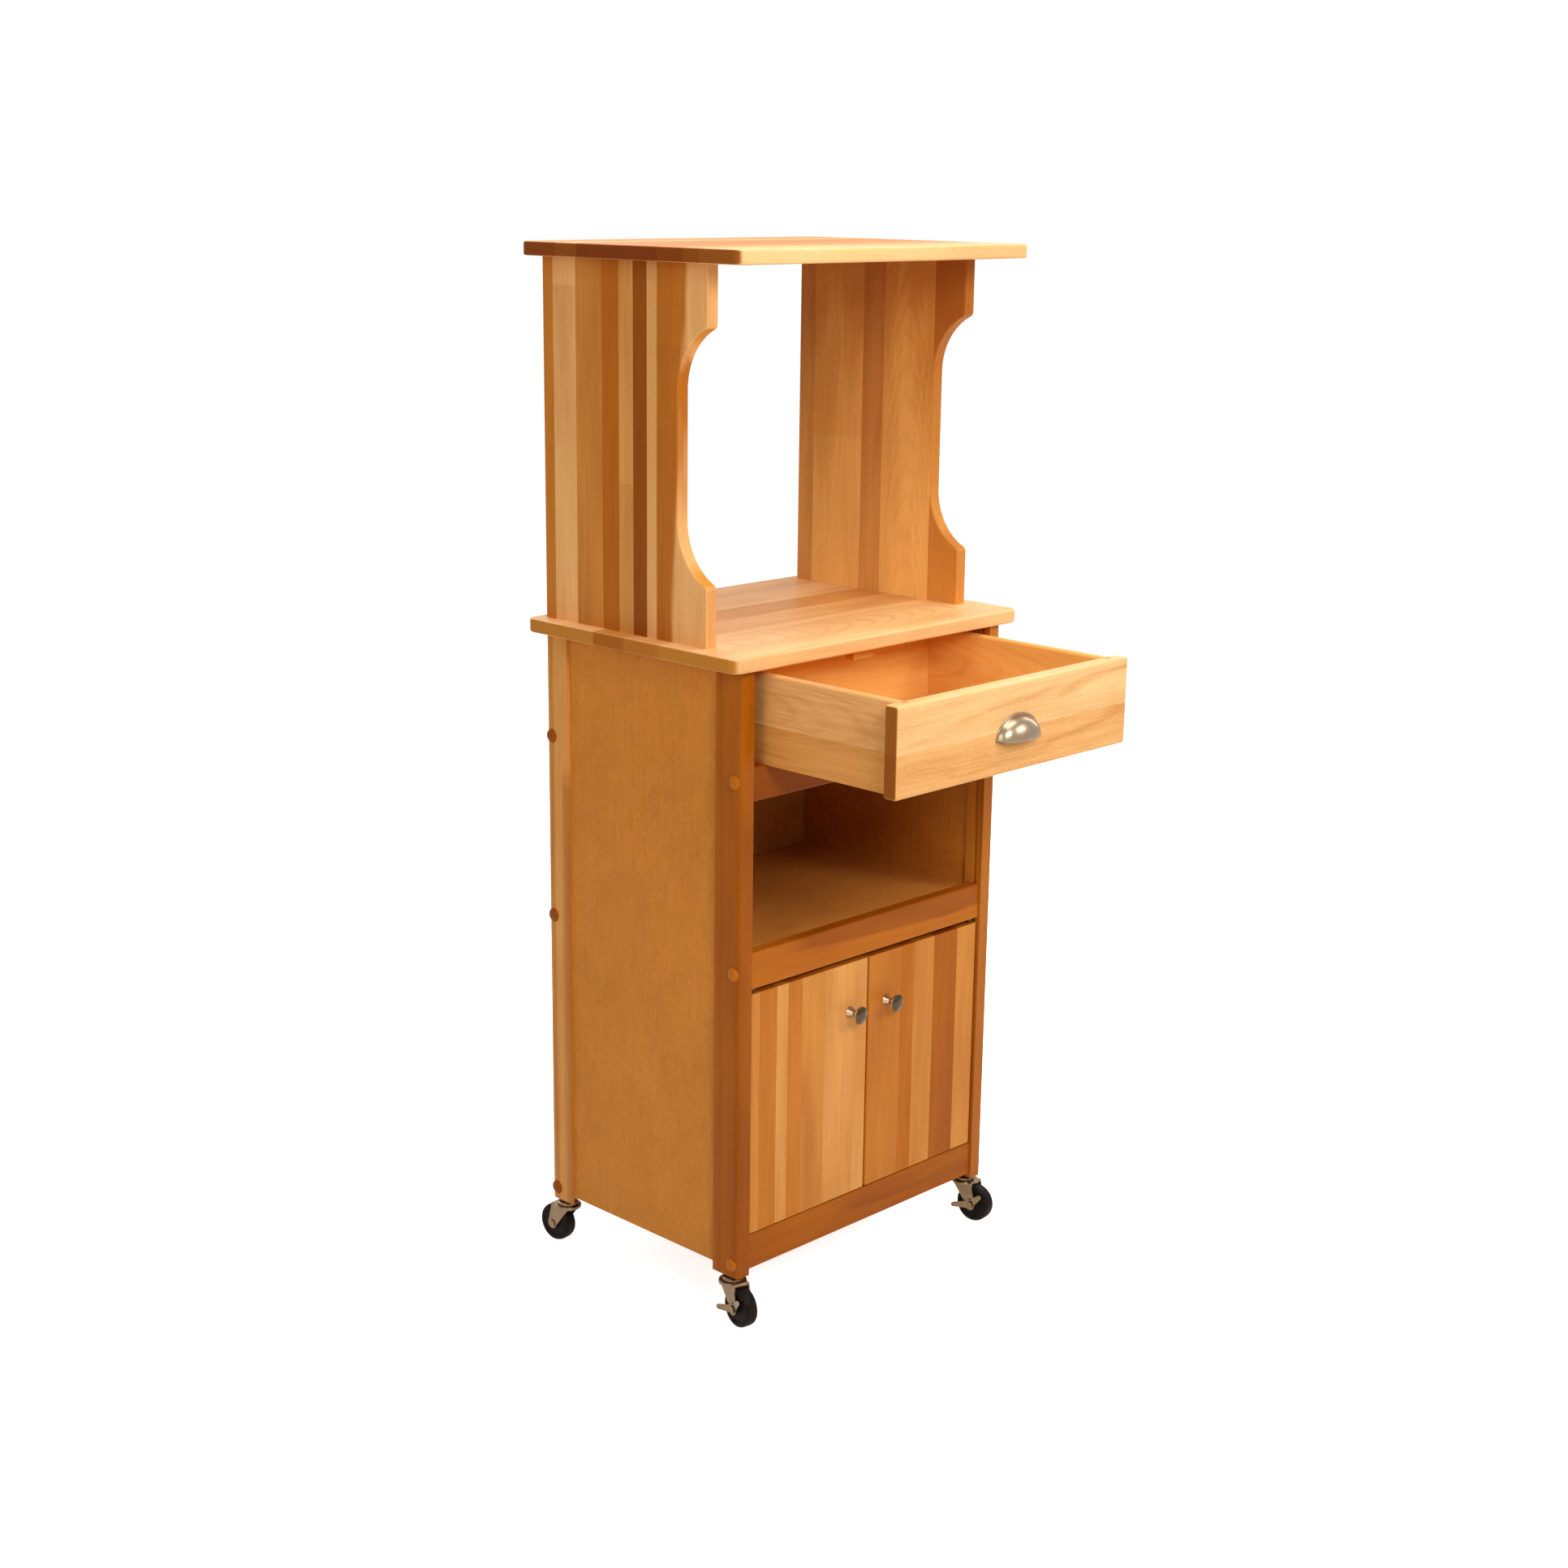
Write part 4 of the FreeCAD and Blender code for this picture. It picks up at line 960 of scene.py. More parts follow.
def from_rear(rear: float, staves: Sequence[tuple[float, Tone]]) -> tuple[tuple[float, Tone], ...]:
    """Turns distances from the rear edge into rising places along Y.

    Args:
        rear: Y of the rear edge, mm.
        staves: Distance of each stave's front edge from the rear edge, mm, and its tone.

    Returns:
        Upper edges and tones, in rising order.
    """
    starts = [0.0] + [distance for distance, _ in staves[:-1]]
    rising = [(rear - start, tone) for start, (_, tone) in zip(starts, staves)]
    return tuple(reversed(rising))


# ---------------------------------------------------------------- sub-assemblies
@dataclass
class Hutch:
    """The two shaped sides and the board over them.

    Attributes:
        side_depth: How far the staves of a side reach from its rear edge, mm.
        top_depth: The same for the top board, mm.
        ear_edge: Distance from the rear edge to the stave that holds the dark streak, mm.
        ear_streak: Distance of the dark streak from the rear edge at the floor, mm.
        streak_lean: How far the streak leans back per mm of height.
        pale_arris: Width of the pale strip along the shaped front edge, mm.
        figure: Distance of the right side's figure from the rear edge, mm.
    """

    side_depth: float = 320.0
    top_depth: float = 420.0
    ear_edge: float = 221.0
    ear_streak: float = 250.7
    streak_lean: float = 0.058
    pale_arris: float = 3.0
    figure: float = 212.0

    def build(self) -> None:
        """Dresses the three boards in staves of changing tone."""
        low, high = corner_box("hutch_side_left")
        rear, foot = high[1], low[2]
        front = self.side_depth - self.pale_arris
        streak = HeartAndShadow(
            rear - self.ear_streak + self.streak_lean * foot, slope=-self.streak_lean, width=130.0, soft=5.0,
            strength=0.95, tone=Tone.AMBER, wobble=7.0, high=rear - self.ear_edge)
        staves = ((20.0, Tone.TAN), (66.0, Tone.PALE), (117.0, Tone.HONEY), (149.0, Tone.AMBER),
                  (177.0, Tone.STRAW), (203.0, Tone.RUSSET), (self.ear_edge, Tone.PALE), (front, Tone.PALE),
                  (self.side_depth, Tone.CREAM))
        left = Staves(
            "hutch_left_staves", Axis.Z, Axis.Y, from_rear(rear, staves), low=rear - self.side_depth,
            hearts_and_shadow=(streak,), end_dark=0.95, joints=0.34)
        dress("hutch_side_left", left.material())

        staves = ((30.0, Tone.STRAW), (126.0, Tone.GOLD), (165.0, Tone.STRAW), (259.0, Tone.GOLD),
                  (front, Tone.HONEY), (self.side_depth, Tone.CREAM))
        figure = Arches(rear - self.figure, reach=52.0, pitch=46.0, stretch=210.0, strength=0.14)
        # The right side darkens towards its top: painted shade under the top board, and painted light towards
        # its foot.
        right = Staves(
            "hutch_right_staves", Axis.Z, Axis.Y, from_rear(rear, staves), low=rear - self.side_depth,
            arches=(figure,), end_dark=0.95, seed=0.37, length=700.0, joints=0.16, painted_shade_per_metre=1.7,
            painted_shade_from=foot + 190.0)
        dress("hutch_side_right", right.material())

        rear = corner_box("hutch_top_board")[1][1]
        staves = ((75.0, Tone.STRAW), (116.0, Tone.PALE), (269.0, Tone.HONEY), (315.0, Tone.STRAW),
                  (344.0, Tone.PALE), (self.top_depth, Tone.CREAM))
        top = Staves(
            "hutch_top_staves", Axis.X, Axis.Y, from_rear(rear, staves), low=rear - self.top_depth,
            end_dark=0.34, seed=0.61, joints=0.16)
        dress("hutch_top_board", top.material())
        LOG.info("hutch: two sides and a top board")


@dataclass
class Counter:
    """The counter board.

    Attributes:
        depth: How far its staves reach from its rear edge, mm.
        figure: Distance of the cathedral figure's axis from the rear edge, mm.
    """

    depth: float = 412.0
    figure: float = 330.0

    def build(self) -> None:
        """Dresses the counter in long staves, its front stave with a cathedral figure."""
        rear = corner_box("counter_board")[1][1]
        staves = ((65.0, Tone.CREAM), (141.0, Tone.CREAM), (200.0, Tone.STRAW), (268.0, Tone.PALE),
                  (self.depth, Tone.CREAM))
        figure = Arches(rear - self.figure, reach=66.0, pitch=44.0, stretch=230.0, strength=0.22, start=40.0)
        finish = Staves(
            "counter_staves", Axis.X, Axis.Y, from_rear(rear, staves), low=rear - self.depth,
            arches=(figure,), end_dark=0.60, seed=0.21, joints=0.14)
        dress("counter_board", finish.material())
        LOG.info("counter board")


@dataclass
class Carcass:
    """Posts, rails, panels, shelf, floor, strips and button caps.

    Attributes:
        cap_radius: Radius of a button cap, mm.
        cap_height: Height of its dome, mm.
        cap_edge: Height of its upright edge, mm.
        panel: Display colour of the side panels.
    """

    cap_radius: float = 9.75
    cap_height: float = 4.0
    cap_edge: float = 1.3
    panel: Colour = (206, 130, 48)

    def build(self) -> None:
        """Dresses every board of the carcass and puts smooth caps over the plain ones."""
        posts = (("post_front_left", Tone.COPPER), ("post_rear_left", Tone.STRAW),
                 ("post_front_right", Tone.TAN), ("post_rear_right", Tone.STRAW))
        for index, (node, tone) in enumerate(posts):
            dress(node, self._post(node, tone, 0.17 * index).material())
        self._rails()
        self._sheets()
        strips = Staves("strip_pine", Axis.Y, Axis.Z, ((WIDE, Tone.STRAW),), low=0.0, seed=0.4).material()
        for node in ("drawer_guide_left", "drawer_guide_right", "shelf_cleats", "floor_cleats",
                     "counter_cleats", "wood_dowels"):
            dress(node, strips)
        # A paler tone than the other strips: painted light, which keeps the block from reading dark in the
        # shade under the counter.
        block = Staves("block_pine", Axis.X, Axis.Z, ((WIDE, Tone.GOLD),), low=0.0, end_dark=0.9, seed=0.1)
        dress("drawer_stop_block", block.material())
        dress("rail_screws", Metal("screw_bronze", (112, 92, 66), 0.45).material())
        dress("door_catches", Moulded("catch_brown", (84, 58, 38), 0.45).material())
        dress("door_bushes", Moulded("bush_nylon", (96, 62, 36), 0.5).material())
        LOG.info("carcass: posts, rails, panels, boards and strips")
        self._caps()

    @staticmethod
    def _post(node: str, tone: Tone, seed: float) -> Staves:
        """One post: a single stave with a long darker streak and the drawer's painted shadow on its front.

        Args:
            node: Name of the post's node.
            tone: Its tone.
            seed: Moves its pattern.

        Returns:
            Its finish.
        """
        low, high = corner_box(node)
        near, far = low[1], high[1]
        streaks = (
            HeartAndShadow(far - 16.0, slope=0.004, width=8.0, soft=5.0, strength=0.45, tone=Tone.RUSSET, wobble=3.0),
            # This streak darkens the post's front face up to just under the drawer: painted shadow of the
            # open drawer, not heartwood.
            HeartAndShadow(near - 12.0, width=22.0, tone=Tone.RUSSET, wobble=3.0, end=740.0))
        return Staves(node + "_birch", Axis.Z, Axis.Y, ((far, tone),), low=near, hearts_and_shadow=streaks, seed=seed)

    @staticmethod
    def _rails() -> None:
        """Dresses the six rails, each a single stave along X, two of them with streaks."""
        shelf_top, foot_top = corner_box("shelf_rail")[1][2], corner_box("bottom_rail")[1][2]
        shelf_streak = HeartAndShadow(
            shelf_top - 22.0, slope=-0.035, width=70.0, soft=3.0, strength=0.70, tone=Tone.RUSSET,
            wobble=5.0, start=-170.0, end=900.0)
        foot_streak = HeartAndShadow(
            foot_top - 30.0, slope=-0.05, width=16.0, soft=8.0, strength=0.60, tone=Tone.RUSSET,
            wobble=8.0, start=-60.0, end=400.0)
        rails = (
            ("drawer_rail", Tone.RUSSET, 0.5, 1.0, ()),
            ("shelf_rail", Tone.AMBER, 0.83, 1.0, (shelf_streak,)),
            ("bottom_rail", Tone.COPPER, 0.29, 1.5, (foot_streak,)),
            ("rear_rail_upper", Tone.TAN, 0.11, 1.0, ()),
            ("rear_rail_middle", Tone.TAN, 0.41, 1.0, ()),
            ("rear_rail_lower", Tone.TAN, 0.71, 1.0, ()),
        )
        for node, tone, seed, fibre, streaks in rails:
            low, high = corner_box(node)
            rail = Staves(node + "_birch", Axis.X, Axis.Z, ((high[2], tone),), low=low[2], hearts_and_shadow=streaks,
                          fibre=fibre, seed=seed)
            dress(node, rail.material())

    def _sheets(self) -> None:
        """Dresses the plywood: side panels, back, shelf and floor."""
        for side, seed in (("left", 0.0), ("right", 0.7)):
            panel = "side_panel_" + side
            dress(panel, PeeledPly(panel + "_ply", Axis.Z, self.panel, Axis.X, seed).material())
        dress("back_panel", PeeledPly("back_panel_ply", Axis.Z, (210, 150, 70), Axis.Y, 0.2).material())
        board = PeeledPly("shelf_ply", Axis.X, (206, 136, 60), Axis.Z, 0.45).material()
        dress("open_shelf", board)
        dress("cabinet_floor", board)

    def _caps(self) -> None:
        """Domed caps over the post screws: a flat-footed cushion whose height falls as a rounded arc."""
        low, high = corner_box("button_caps")
        rail_low, rail_high = corner_box("shelf_rail")
        reach = corner_box("post_front_right")[1][0]
        radius, height = self.cap_radius, self.cap_height
        profile = rounded_path((
            (0.0, height, 0.0), (radius * 0.55, height, 9.0), (radius, self.cap_edge, 1.6),
            (radius, 0.0, 0.0), (0.0, 0.0, 0.0)), steps=7)
        grids = []
        for side in (-1.0, 1.0):
            for y in (low[1] + radius, high[1] - radius):
                for z in (high[2] - radius, 0.5 * (rail_low[2] + rail_high[2]), low[2] + radius):
                    place = Place((side * reach, y, z), (0.0, 0.0, side), (0.0, 1.0, 0.0), (side, 0.0, 0.0))
                    grids.append(turned(profile, place, sectors=28))
        caps = grid_object("button_cap_domes", grids, [(False, True)] * len(grids))
        # The rear caps take a darker tone than the front ones: painted shade at the rear of the stand.
        finish = Staves("cap_birch", Axis.Z, Axis.Y, ((0.0, Tone.AMBER), (WIDE, Tone.RUSSET)), low=-WIDE,
                        end_dark=1.0, seed=0.9)
        caps.data.materials.append(finish.material())
        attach(caps, "cabinet")
        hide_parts("button_caps")
        LOG.info("twelve domed caps")


@dataclass
class Drawer:
    """The drawer box and its cup pull.

    Attributes:
        front_joint: Height of the joint between the front's two staves, mm.
        side_joint: The same on the sides, mm.
        side_figure: Height of the sides' figure, mm.
        pull_width: Width of the pull with its flange, mm.
        pull_rise: Its height, mm.
        pull_reach: How far it stands out, mm.
        pull_flange: Width of the flange, mm.
        pull_plate: Thickness of the flange, mm.
        pull_wall: Thickness of the shell, mm.
    """

    front_joint: float = 56.0
    side_joint: float = 52.0
    side_figure: float = 74.0
    pull_width: float = 87.0
    pull_rise: float = 33.0
    pull_reach: float = 21.9
    pull_flange: float = 3.0
    pull_plate: float = 1.7
    pull_wall: float = 1.6

    def build(self) -> None:
        """Dresses the box and makes the pull."""
        low, high = corner_box("drawer_front")
        base, top = low[2], high[2]
        front = Staves(
            "drawer_front_birch", Axis.X, Axis.Z,
            ((base + self.front_joint, Tone.PALE), (top, Tone.CREAM)), low=base,
            hearts_and_shadow=(HeartAndShadow(base + 66.0, slope=0.16, width=9.0, tone=Tone.HONEY, wobble=12.0, start=60.0,
                          end=300.0),
                    HeartAndShadow(base + 18.0, slope=0.12, width=8.0, strength=0.55, tone=Tone.HONEY, wobble=12.0,
                          start=20.0, end=300.0),
                    HeartAndShadow(base + 84.0, slope=0.10, width=6.0, soft=5.0, strength=0.40, tone=Tone.HONEY,
                          wobble=9.0, start=-150.0, end=120.0)),
            fibre=1.3, cloud=0.9, end_dark=0.36, seed=0.33)
        dress("drawer_front", front.material())
        low, high = corner_box("drawer_side_left")
        base, top = low[2], high[2]
        sides = (("drawer_side_left", Tone.STRAW, Tone.PALE, 1.4),
                 ("drawer_side_right", Tone.GOLD, Tone.GOLD, 0.5))
        figure = Arches(base + self.side_figure, reach=46.0, pitch=60.0, stretch=-190.0, strength=0.14,
                        start=14.0)
        for index, (node, lower, upper, fibre) in enumerate(sides):
            side = Staves(
                node + "_birch", Axis.Y, Axis.Z, ((base + self.side_joint, lower), (top, upper)), low=base,
                arches=(figure,), fibre=fibre, seed=0.15 + 0.5 * index)
            dress(node, side.material())
        back = Staves("drawer_back_birch", Axis.X, Axis.Z, ((top, Tone.GOLD),), low=base, seed=0.7)
        dress("drawer_back", back.material())
        dress("drawer_bottom", PeeledPly("drawer_bottom_ply", Axis.X, (240, 180, 96), Axis.Z, 0.9).material())
        dress("cup_pull_screws", Metal("pull_screw_zinc", (196, 196, 192), 0.3).material())
        LOG.info("drawer box")
        self._pull()

    def _pull(self) -> None:
        """The cup pull: a half-dome, open below, with a thin flange on the drawer face.

        The skin follows an ellipsoid. At an angle round the rim and an angle out from the face, the point is
        the rim's half-ellipse scaled by the cosine, and its reach is the sine times the projection. The
        flange is the same half-ellipse, a little wider, at a constant small thickness. One profile from the
        wall under the flange, over the dome and back along its inner skin, is carried round it.
        """
        low, high = corner_box("cup_pull")
        face, foot = high[1], low[2]
        half, rise = self.pull_width / 2.0, self.pull_rise
        turn = np.linspace(0.0, math.pi, 65)
        lift = np.linspace(0.0, math.pi / 2.0, 22)
        wall, flange, plate = self.pull_wall, self.pull_flange, self.pull_plate

        def skin(inset: float, reach: float, angles: np.ndarray) -> np.ndarray:
            """Half-ellipsoid at an inset from the rim.

            Args:
                inset: Distance in from the outer rim, mm.
                reach: How far it stands out from the face, mm.
                angles: Angles out from the face, one per row.

            Returns:
                Rows of points, mm.
            """
            out = np.cos(angles)[:, None]
            across = (half - inset) * np.cos(turn)[None, :] * out
            up = (rise - inset) * np.sin(turn)[None, :] * out
            return np.stack([across, -reach * np.sin(angles)[:, None] + 0.0 * across, up], axis=-1)

        def ring(inset: float, reach: float) -> np.ndarray:
            """One half-ellipse row at a constant distance from the face.

            Args:
                inset: Distance in from the outer rim, mm.
                reach: Distance from the face, mm.

            Returns:
                The row, mm.
            """
            across = (half - inset) * np.cos(turn)
            up = (rise - inset) * np.sin(turn)
            return np.stack([across, np.full_like(across, -reach), up], axis=-1)[None]

        rows = np.concatenate([
            ring(0.0, 0.0), ring(0.0, plate - 0.7), ring(0.35, plate - 0.2), ring(1.0, plate),
            ring(flange - 0.4, plate),
            skin(flange, self.pull_reach, lift[2:]),
            skin(flange + wall, self.pull_reach - wall, lift[::-1]),
        ])
        place = Place((0.0, face, foot))
        made = grid_object("cup_pull_shell", [place.put(rows)], [(False, False)])
        self._close_lip(made)
        made.data.materials.append(Metal("brushed_nickel", (158, 137, 114), 0.26, brushed=Axis.X).material())
        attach(made, "drawer")
        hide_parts("cup_pull")
        LOG.info("cup pull")

    @staticmethod
    def _close_lip(made: bpy.types.Object) -> None:
        """Closes the open boundary of the pull's shell with flat faces.

        Args:
            made: The shell.
        """
        work = bmesh.new()
        work.from_mesh(made.data)
        open_edges = [edge for edge in work.edges if edge.is_boundary]
        bmesh.ops.holes_fill(work, edges=open_edges, sides=0)
        bmesh.ops.recalc_face_normals(work, faces=work.faces)
        work.to_mesh(made.data)
        work.free()


@dataclass
class Doors:
    """The two doors with their knobs and pivots.

    Attributes:
        half: Distance from the gap between the doors to the outer edge of a door, mm.
        head_radius: Radius of a knob's head, mm.
        foot_radius: Radius of its flared foot, mm.
        neck_radius: Radius of its neck, mm.
        projection: How far it stands out from the door, mm.
        dark_reflection_depth: Depth of the head darkened as a painted dark reflection, from its crown, mm.
    """

    half: float = 232.0
    head_radius: float = 13.0
    foot_radius: float = 8.4
    neck_radius: float = 3.9
    projection: float = 25.0
    dark_reflection_depth: float = 3.6

    def build(self) -> None:
        """Dresses the doors and their fittings, and makes the knobs."""
        left = ((-215.0, Tone.HONEY), (-182.6, Tone.TAN), (-160.6, Tone.STRAW), (-133.6, Tone.TAN),
                (-88.4, Tone.HONEY), (-27.2, Tone.STRAW), (0.0, Tone.STRAW))
        right = ((67.7, Tone.TAN), (95.7, Tone.AMBER), (138.5, Tone.HONEY), (189.3, Tone.COPPER),
                 (self.half, Tone.HONEY))
        doors = (("door_left", left, -self.half, 0.05), ("door_right", right, 0.0, 0.55))
        for door, staves, low, seed in doors:
            finish = Staves(door + "_staves", Axis.Z, Axis.X, staves, low=low, seed=seed, length=620.0,
                            joints=0.12)
            dress(door, finish.material())
        steel = Metal("fitting_steel", (170, 166, 158), 0.30).material()
        pin = Metal("pivot_bronze", (84, 66, 44), 0.5).material()
        for side in ("left", "right"):
            dress("door_pins_" + side, pin)
            for stem in ("catch_plate_", "knob_screw_"):
                dress(stem + side, steel)
        LOG.info("doors")
        # The face of each knob head is darkened: painted dark reflection.
        face = corner_box("knob_left")[1][1] - self.projection + self.dark_reflection_depth
        nickel = Metal("knob_nickel", (186, 158, 130), 0.24, brushed=Axis.X, stain_and_reflection=0.3,
                       front=(0.17, 0.15, 0.12), dark_reflection_line=face).material()
        for side in ("left", "right"):
            self._knob(side, nickel)

    def _knob(self, side: str, nickel: bpy.types.Material) -> None:
        """A turned knob: a flared foot, a slim neck and a mushroom head with a rolled rim.

        Args:
            side: Which door it is on.
            nickel: Its finish.
        """
        low, high = corner_box("knob_" + side)
        seat = (0.5 * (low[0] + high[0]), high[1], 0.5 * (low[2] + high[2]))
        place = Place(seat, (1.0, 0.0, 0.0), (0.0, 0.0, 1.0), (0.0, -1.0, 0.0))
        reach, head, foot, neck = self.projection, self.head_radius, self.foot_radius, self.neck_radius
        profile = rounded_path((
            (0.0, 0.0, 0.0), (foot, 0.0, 0.0), (foot, 0.8, 0.4), (neck + 0.5, 9.0, 6.0), (neck, 13.5, 5.0),
            (neck + 1.3, reach - 8.6, 3.0), (head - 1.2, reach - 6.2, 2.0), (head, reach - 4.6, 1.2),
            (head - 0.9, reach - 3.0, 1.2), (head - 2.6, reach - 2.3, 1.0), (6.0, reach - 0.4, 9.0),
            (0.0, reach, 0.0)), steps=7)
        made = grid_object("knob_turned_" + side, [turned(profile, place, sectors=56)], [(False, True)])
        made.data.materials.append(nickel)
        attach(made, "door_" + side)
        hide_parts("knob_" + side)
        LOG.info("knob %s", side)


@dataclass
class Castors:
    """The four castors.

    Attributes:
        wheel_radius: Radius of a wheel, mm.
        wheel_half: Half its width, mm.
        axle_bore: Radius of the hole for the axle, mm.
        hub_radius: Radius of the raised hub, mm.
        rim_radius: Inner radius of the raised rim, mm.
        face_recess: Depth of the ring sunk into each face, mm.
    """

    wheel_radius: float = 27.5
    wheel_half: float = 10.0
    axle_bore: float = 4.1
    hub_radius: float = 9.0
    rim_radius: float = 20.6
    face_recess: float = 1.5

    def build(self) -> None:
        """Dresses the metal parts and makes round wheels."""
        # The deep patches on the zinc are partly stain and partly painted reflection.
        zinc = Metal("castor_zinc", (124, 102, 76), 0.28, stain_and_reflection=0.45).material()
        for node in ("caster_stems", "caster_race_caps", "caster_fork_fl", "caster_fork_fr", "caster_fork_rl",
                     "caster_fork_rr", "brake_lever_fl", "brake_lever_fr"):
            dress(node, zinc)
        rubber = Rubber("castor_rubber", (10, 7, 5), (38, 24, 14)).material()
        for joint in frame["joints"]:
            if joint["name"].endswith("_spin"):
                self._wheel(joint, rubber)
        LOG.info("castors: metal parts")

    def _wheel(self, joint: dict, rubber: bpy.types.Material) -> None:
        """A solid wheel: a round-shouldered tread, recessed faces and a raised hub round the axle.

        Args:
            joint: The joint that it turns on, which gives its centre and axis.
            rubber: Its finish.
        """
        corner = joint["name"].split("_")[1]
        axis = Vector(joint["axis"])
        up = Vector((0.0, 0.0, 1.0))
        side = up.cross(axis)
        centre = tuple(part / MM for part in joint["pos_m"])
        place = Place(centre, tuple(side), tuple(up), tuple(axis))
        radius, half, bore = self.wheel_radius, self.wheel_half, self.axle_bore
        hub, rim, floor = self.hub_radius, self.rim_radius, half - self.face_recess
        face = ((bore, half, 0.4), (hub, half, 0.5), (hub + 0.4, floor, 0.5), (rim - 0.8, floor, 0.5),
                (rim, half, 0.5), (radius - 1.4, half - 0.4, 2.6), (radius, half - 4.6, 4.6))
        far = tuple((r, -h, c) for r, h, c in reversed(face))
        surface = turned(rounded_path((*face, *far), steps=6, closed=True), place, sectors=72)
        made = grid_object("castor_wheel_round_" + corner, [surface], [(True, True)])
        made.data.materials.append(rubber)
        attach(made, "wheel_" + corner)
        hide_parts("caster_wheel_" + corner)
        LOG.info("wheel %s", corner)


# ---------------------------------------------------------------- studio
@dataclass
class Softbox:
    """A square soft lamp.

    Attributes:
        name: Name of the lamp.
        place: Where it hangs, metres.
        aim: The point that it faces, metres.
        size: Its side, metres.
        power: Watts.
    """

    name: str
    place: Point
    aim: Point
    size: float
    power: float

    def hang(self) -> None:
        """Makes the lamp and turns it to its aim."""
        data = bpy.data.lights.new(self.name, "AREA")
        data.shape = "SQUARE"
        data.size = self.size
        data.energy = self.power
        lamp = bpy.data.objects.new(self.name, data)
        bpy.context.scene.collection.objects.link(lamp)
        lamp.location = self.place
        lamp.rotation_mode = "QUATERNION"
        lamp.rotation_quaternion = (Vector(self.aim) - Vector(self.place)).to_track_quat("-Z", "Y")


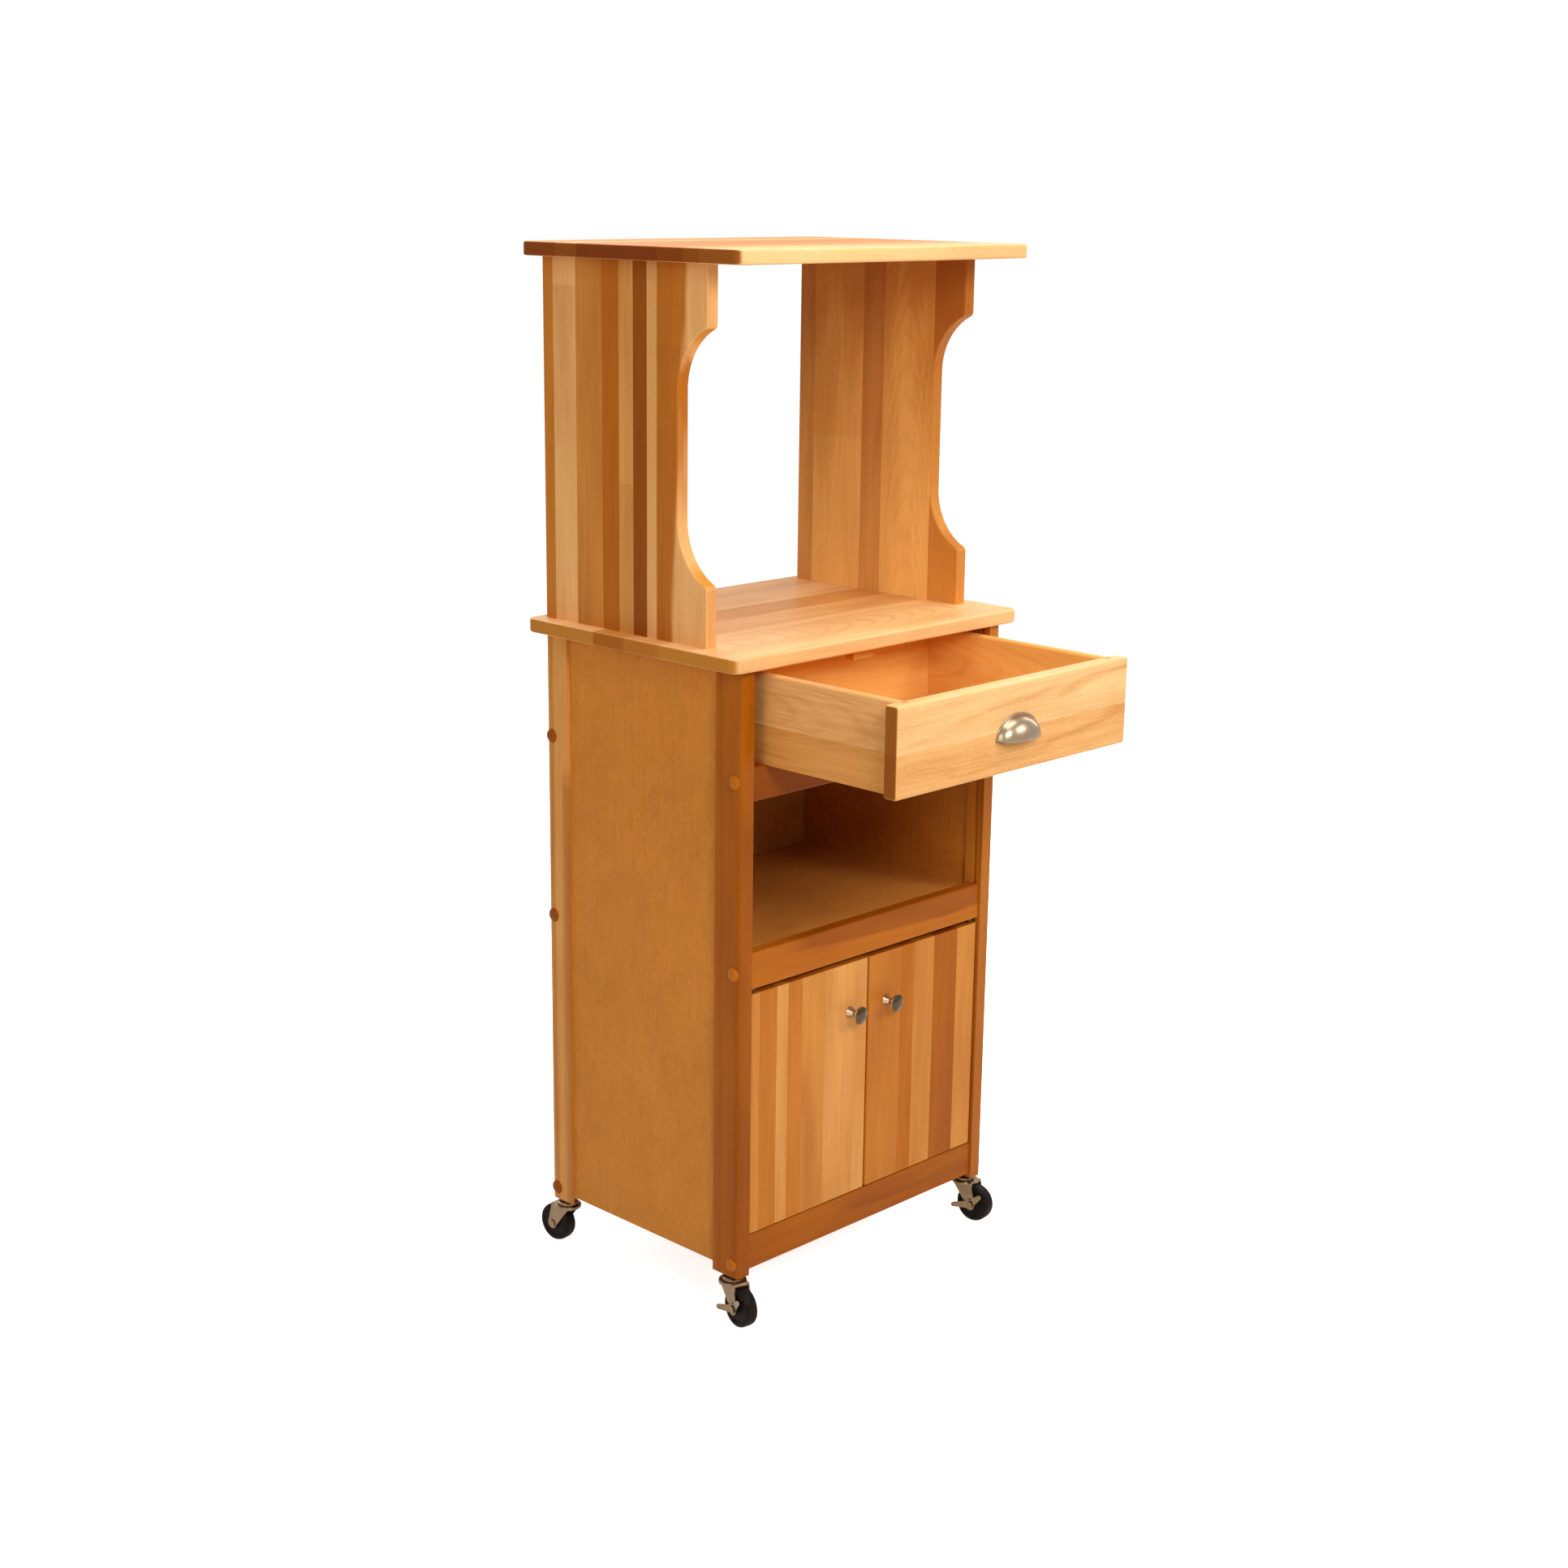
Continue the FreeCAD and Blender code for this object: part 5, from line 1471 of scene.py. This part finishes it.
@dataclass
class Studio:
    """White floor, soft lamps and the camera.

    Attributes:
        eye: Camera place, metres.
        yaw: Turn of the view from +Y towards +X, degrees.
        pitch: Tilt down, degrees.
        roll: Roll, degrees.
        focal: Focal length in pixels of the frame.
        frame_width: Width of the frame, pixels.
        centre: Pixel that the lens axis meets.
        ambient: Strength of the even light.
        floor_glow: Light that the floor near the stand sends to the camera, so that it reads white.
        floor_far: The same, far from the lamps.
        lamps: The soft lamps.
    """

    eye: Point = (-2.3400, -2.1646, 1.5148)
    yaw: float = 45.355
    pitch: float = 15.077
    roll: float = 0.619
    focal: float = 2930.72
    frame_width: float = 1932.0
    centre: tuple[float, float] = (935.5, 1006.89)
    ambient: float = 0.16
    floor_glow: float = 0.80
    floor_far: float = 0.90
    lamps: tuple[Softbox, ...] = field(default_factory=lambda: (
        Softbox("key_left", (-1.4, -2.9, 2.6), (0.0, -0.1, 0.8), 1.2, 66.0),
        Softbox("key_right", (1.4, -2.9, 2.5), (0.0, -0.1, 0.8), 1.2, 37.0),
        Softbox("top", (0.0, -0.6, 3.6), (0.0, 0.0, 0.8), 1.8, 52.0),
        Softbox("left", (-3.2, -0.5, 1.9), (0.0, 0.0, 0.7), 1.8, 26.0),
        Softbox("rear", (0.6, 3.0, 2.4), (0.0, 0.0, 0.8), 2.4, 55.0),
        Softbox("right", (3.0, 0.4, 2.2), (0.0, 0.0, 0.8), 2.2, 50.0),
    ))

    def build(self) -> None:
        """Sets up the world, the floor, the lamps and the camera."""
        self._world()
        self._floor()
        for lamp in self.lamps:
            lamp.hang()
        self._camera()
        bpy.context.scene.view_settings.view_transform = "Standard"
        LOG.info("studio: floor, %d lamps and camera", len(self.lamps))

    def _world(self) -> None:
        """A white world to the camera and in reflections, and an even plain light to everything else."""
        world = bpy.data.worlds.new("studio")
        bpy.context.scene.world = world
        tree = ShaderTree(world)
        white = (1.0, 1.0, 1.0, 1.0)
        plain, bright = (tree.node("ShaderNodeBackground", inputs={"Color": white, "Strength": strength})
                         for strength in (self.ambient, 1.0))
        both = tree.node("ShaderNodeMixShader", inputs={0: tree.shown(), 1: plain, 2: bright})
        tree.end("ShaderNodeOutputWorld", both)

    def _floor(self) -> None:
        """A wide pale floor that reads white and keeps the stand's soft shadow."""
        reach = 40.0
        mesh = bpy.data.meshes.new("studio_floor")
        corners = [(-reach, -reach, 0.0), (reach, -reach, 0.0), (reach, reach, 0.0), (-reach, reach, 0.0)]
        mesh.from_pydata(corners, [], [(0, 1, 2, 3)])
        floor = bpy.data.objects.new("studio_floor", mesh)
        bpy.context.scene.collection.objects.link(floor)
        tree = ShaderTree.material("studio_floor")
        point = tree.object_point(1.0)
        away = tree.node("ShaderNodeVectorMath", {"operation": "LENGTH"}, {0: point}, out="Value")
        level = tree.mix(away.ease(1.0, 3.5), (self.floor_glow,) * 3 + (1.0,), (self.floor_far,) * 3 + (1.0,))
        glow = tree.mix(tree.shown(), (0.0, 0.0, 0.0, 1.0), level)
        mesh.materials.append(tree.finish(
            Base_Color=(0.80, 0.80, 0.80, 1.0), Roughness=0.9, Specular_IOR_Level=0.0, Emission_Color=glow,
            Emission_Strength=1.0))

    def _camera(self) -> None:
        """Aims the camera: forward from yaw and pitch, right and up turned by the roll about it."""
        yaw, pitch, roll = map(math.radians, (self.yaw, self.pitch, self.roll))
        ahead = Vector((math.sin(yaw) * math.cos(pitch), math.cos(yaw) * math.cos(pitch), -math.sin(pitch)))
        level = Vector((math.cos(yaw), -math.sin(yaw), 0.0))
        above = level.cross(ahead)
        right = level * math.cos(roll) + above * math.sin(roll)
        up = above * math.cos(roll) - level * math.sin(roll)
        turn = Matrix((right, up, -ahead)).transposed()
        data = bpy.data.cameras.new("camera")
        data.sensor_width = SENSOR
        data.lens = self.focal / self.frame_width * SENSOR
        data.shift_x = (self.frame_width / 2.0 - self.centre[0]) / self.frame_width
        data.shift_y = (self.centre[1] - self.frame_width / 2.0) / self.frame_width
        data.clip_end = 200.0
        camera = bpy.data.objects.new("camera", data)
        bpy.context.scene.collection.objects.link(camera)
        camera.matrix_world = Matrix.Translation(Vector(self.eye)) @ turn.to_4x4()
        bpy.context.scene.camera = camera


def main() -> None:
    """Builds the sub-assemblies in order."""
    logging.basicConfig(level=logging.INFO, format="%(name)s: %(message)s")
    for part in (Hutch(), Counter(), Carcass(), Drawer(), Doors(), Castors(), Studio()):
        part.build()


if __name__ == "__main__":
    main()
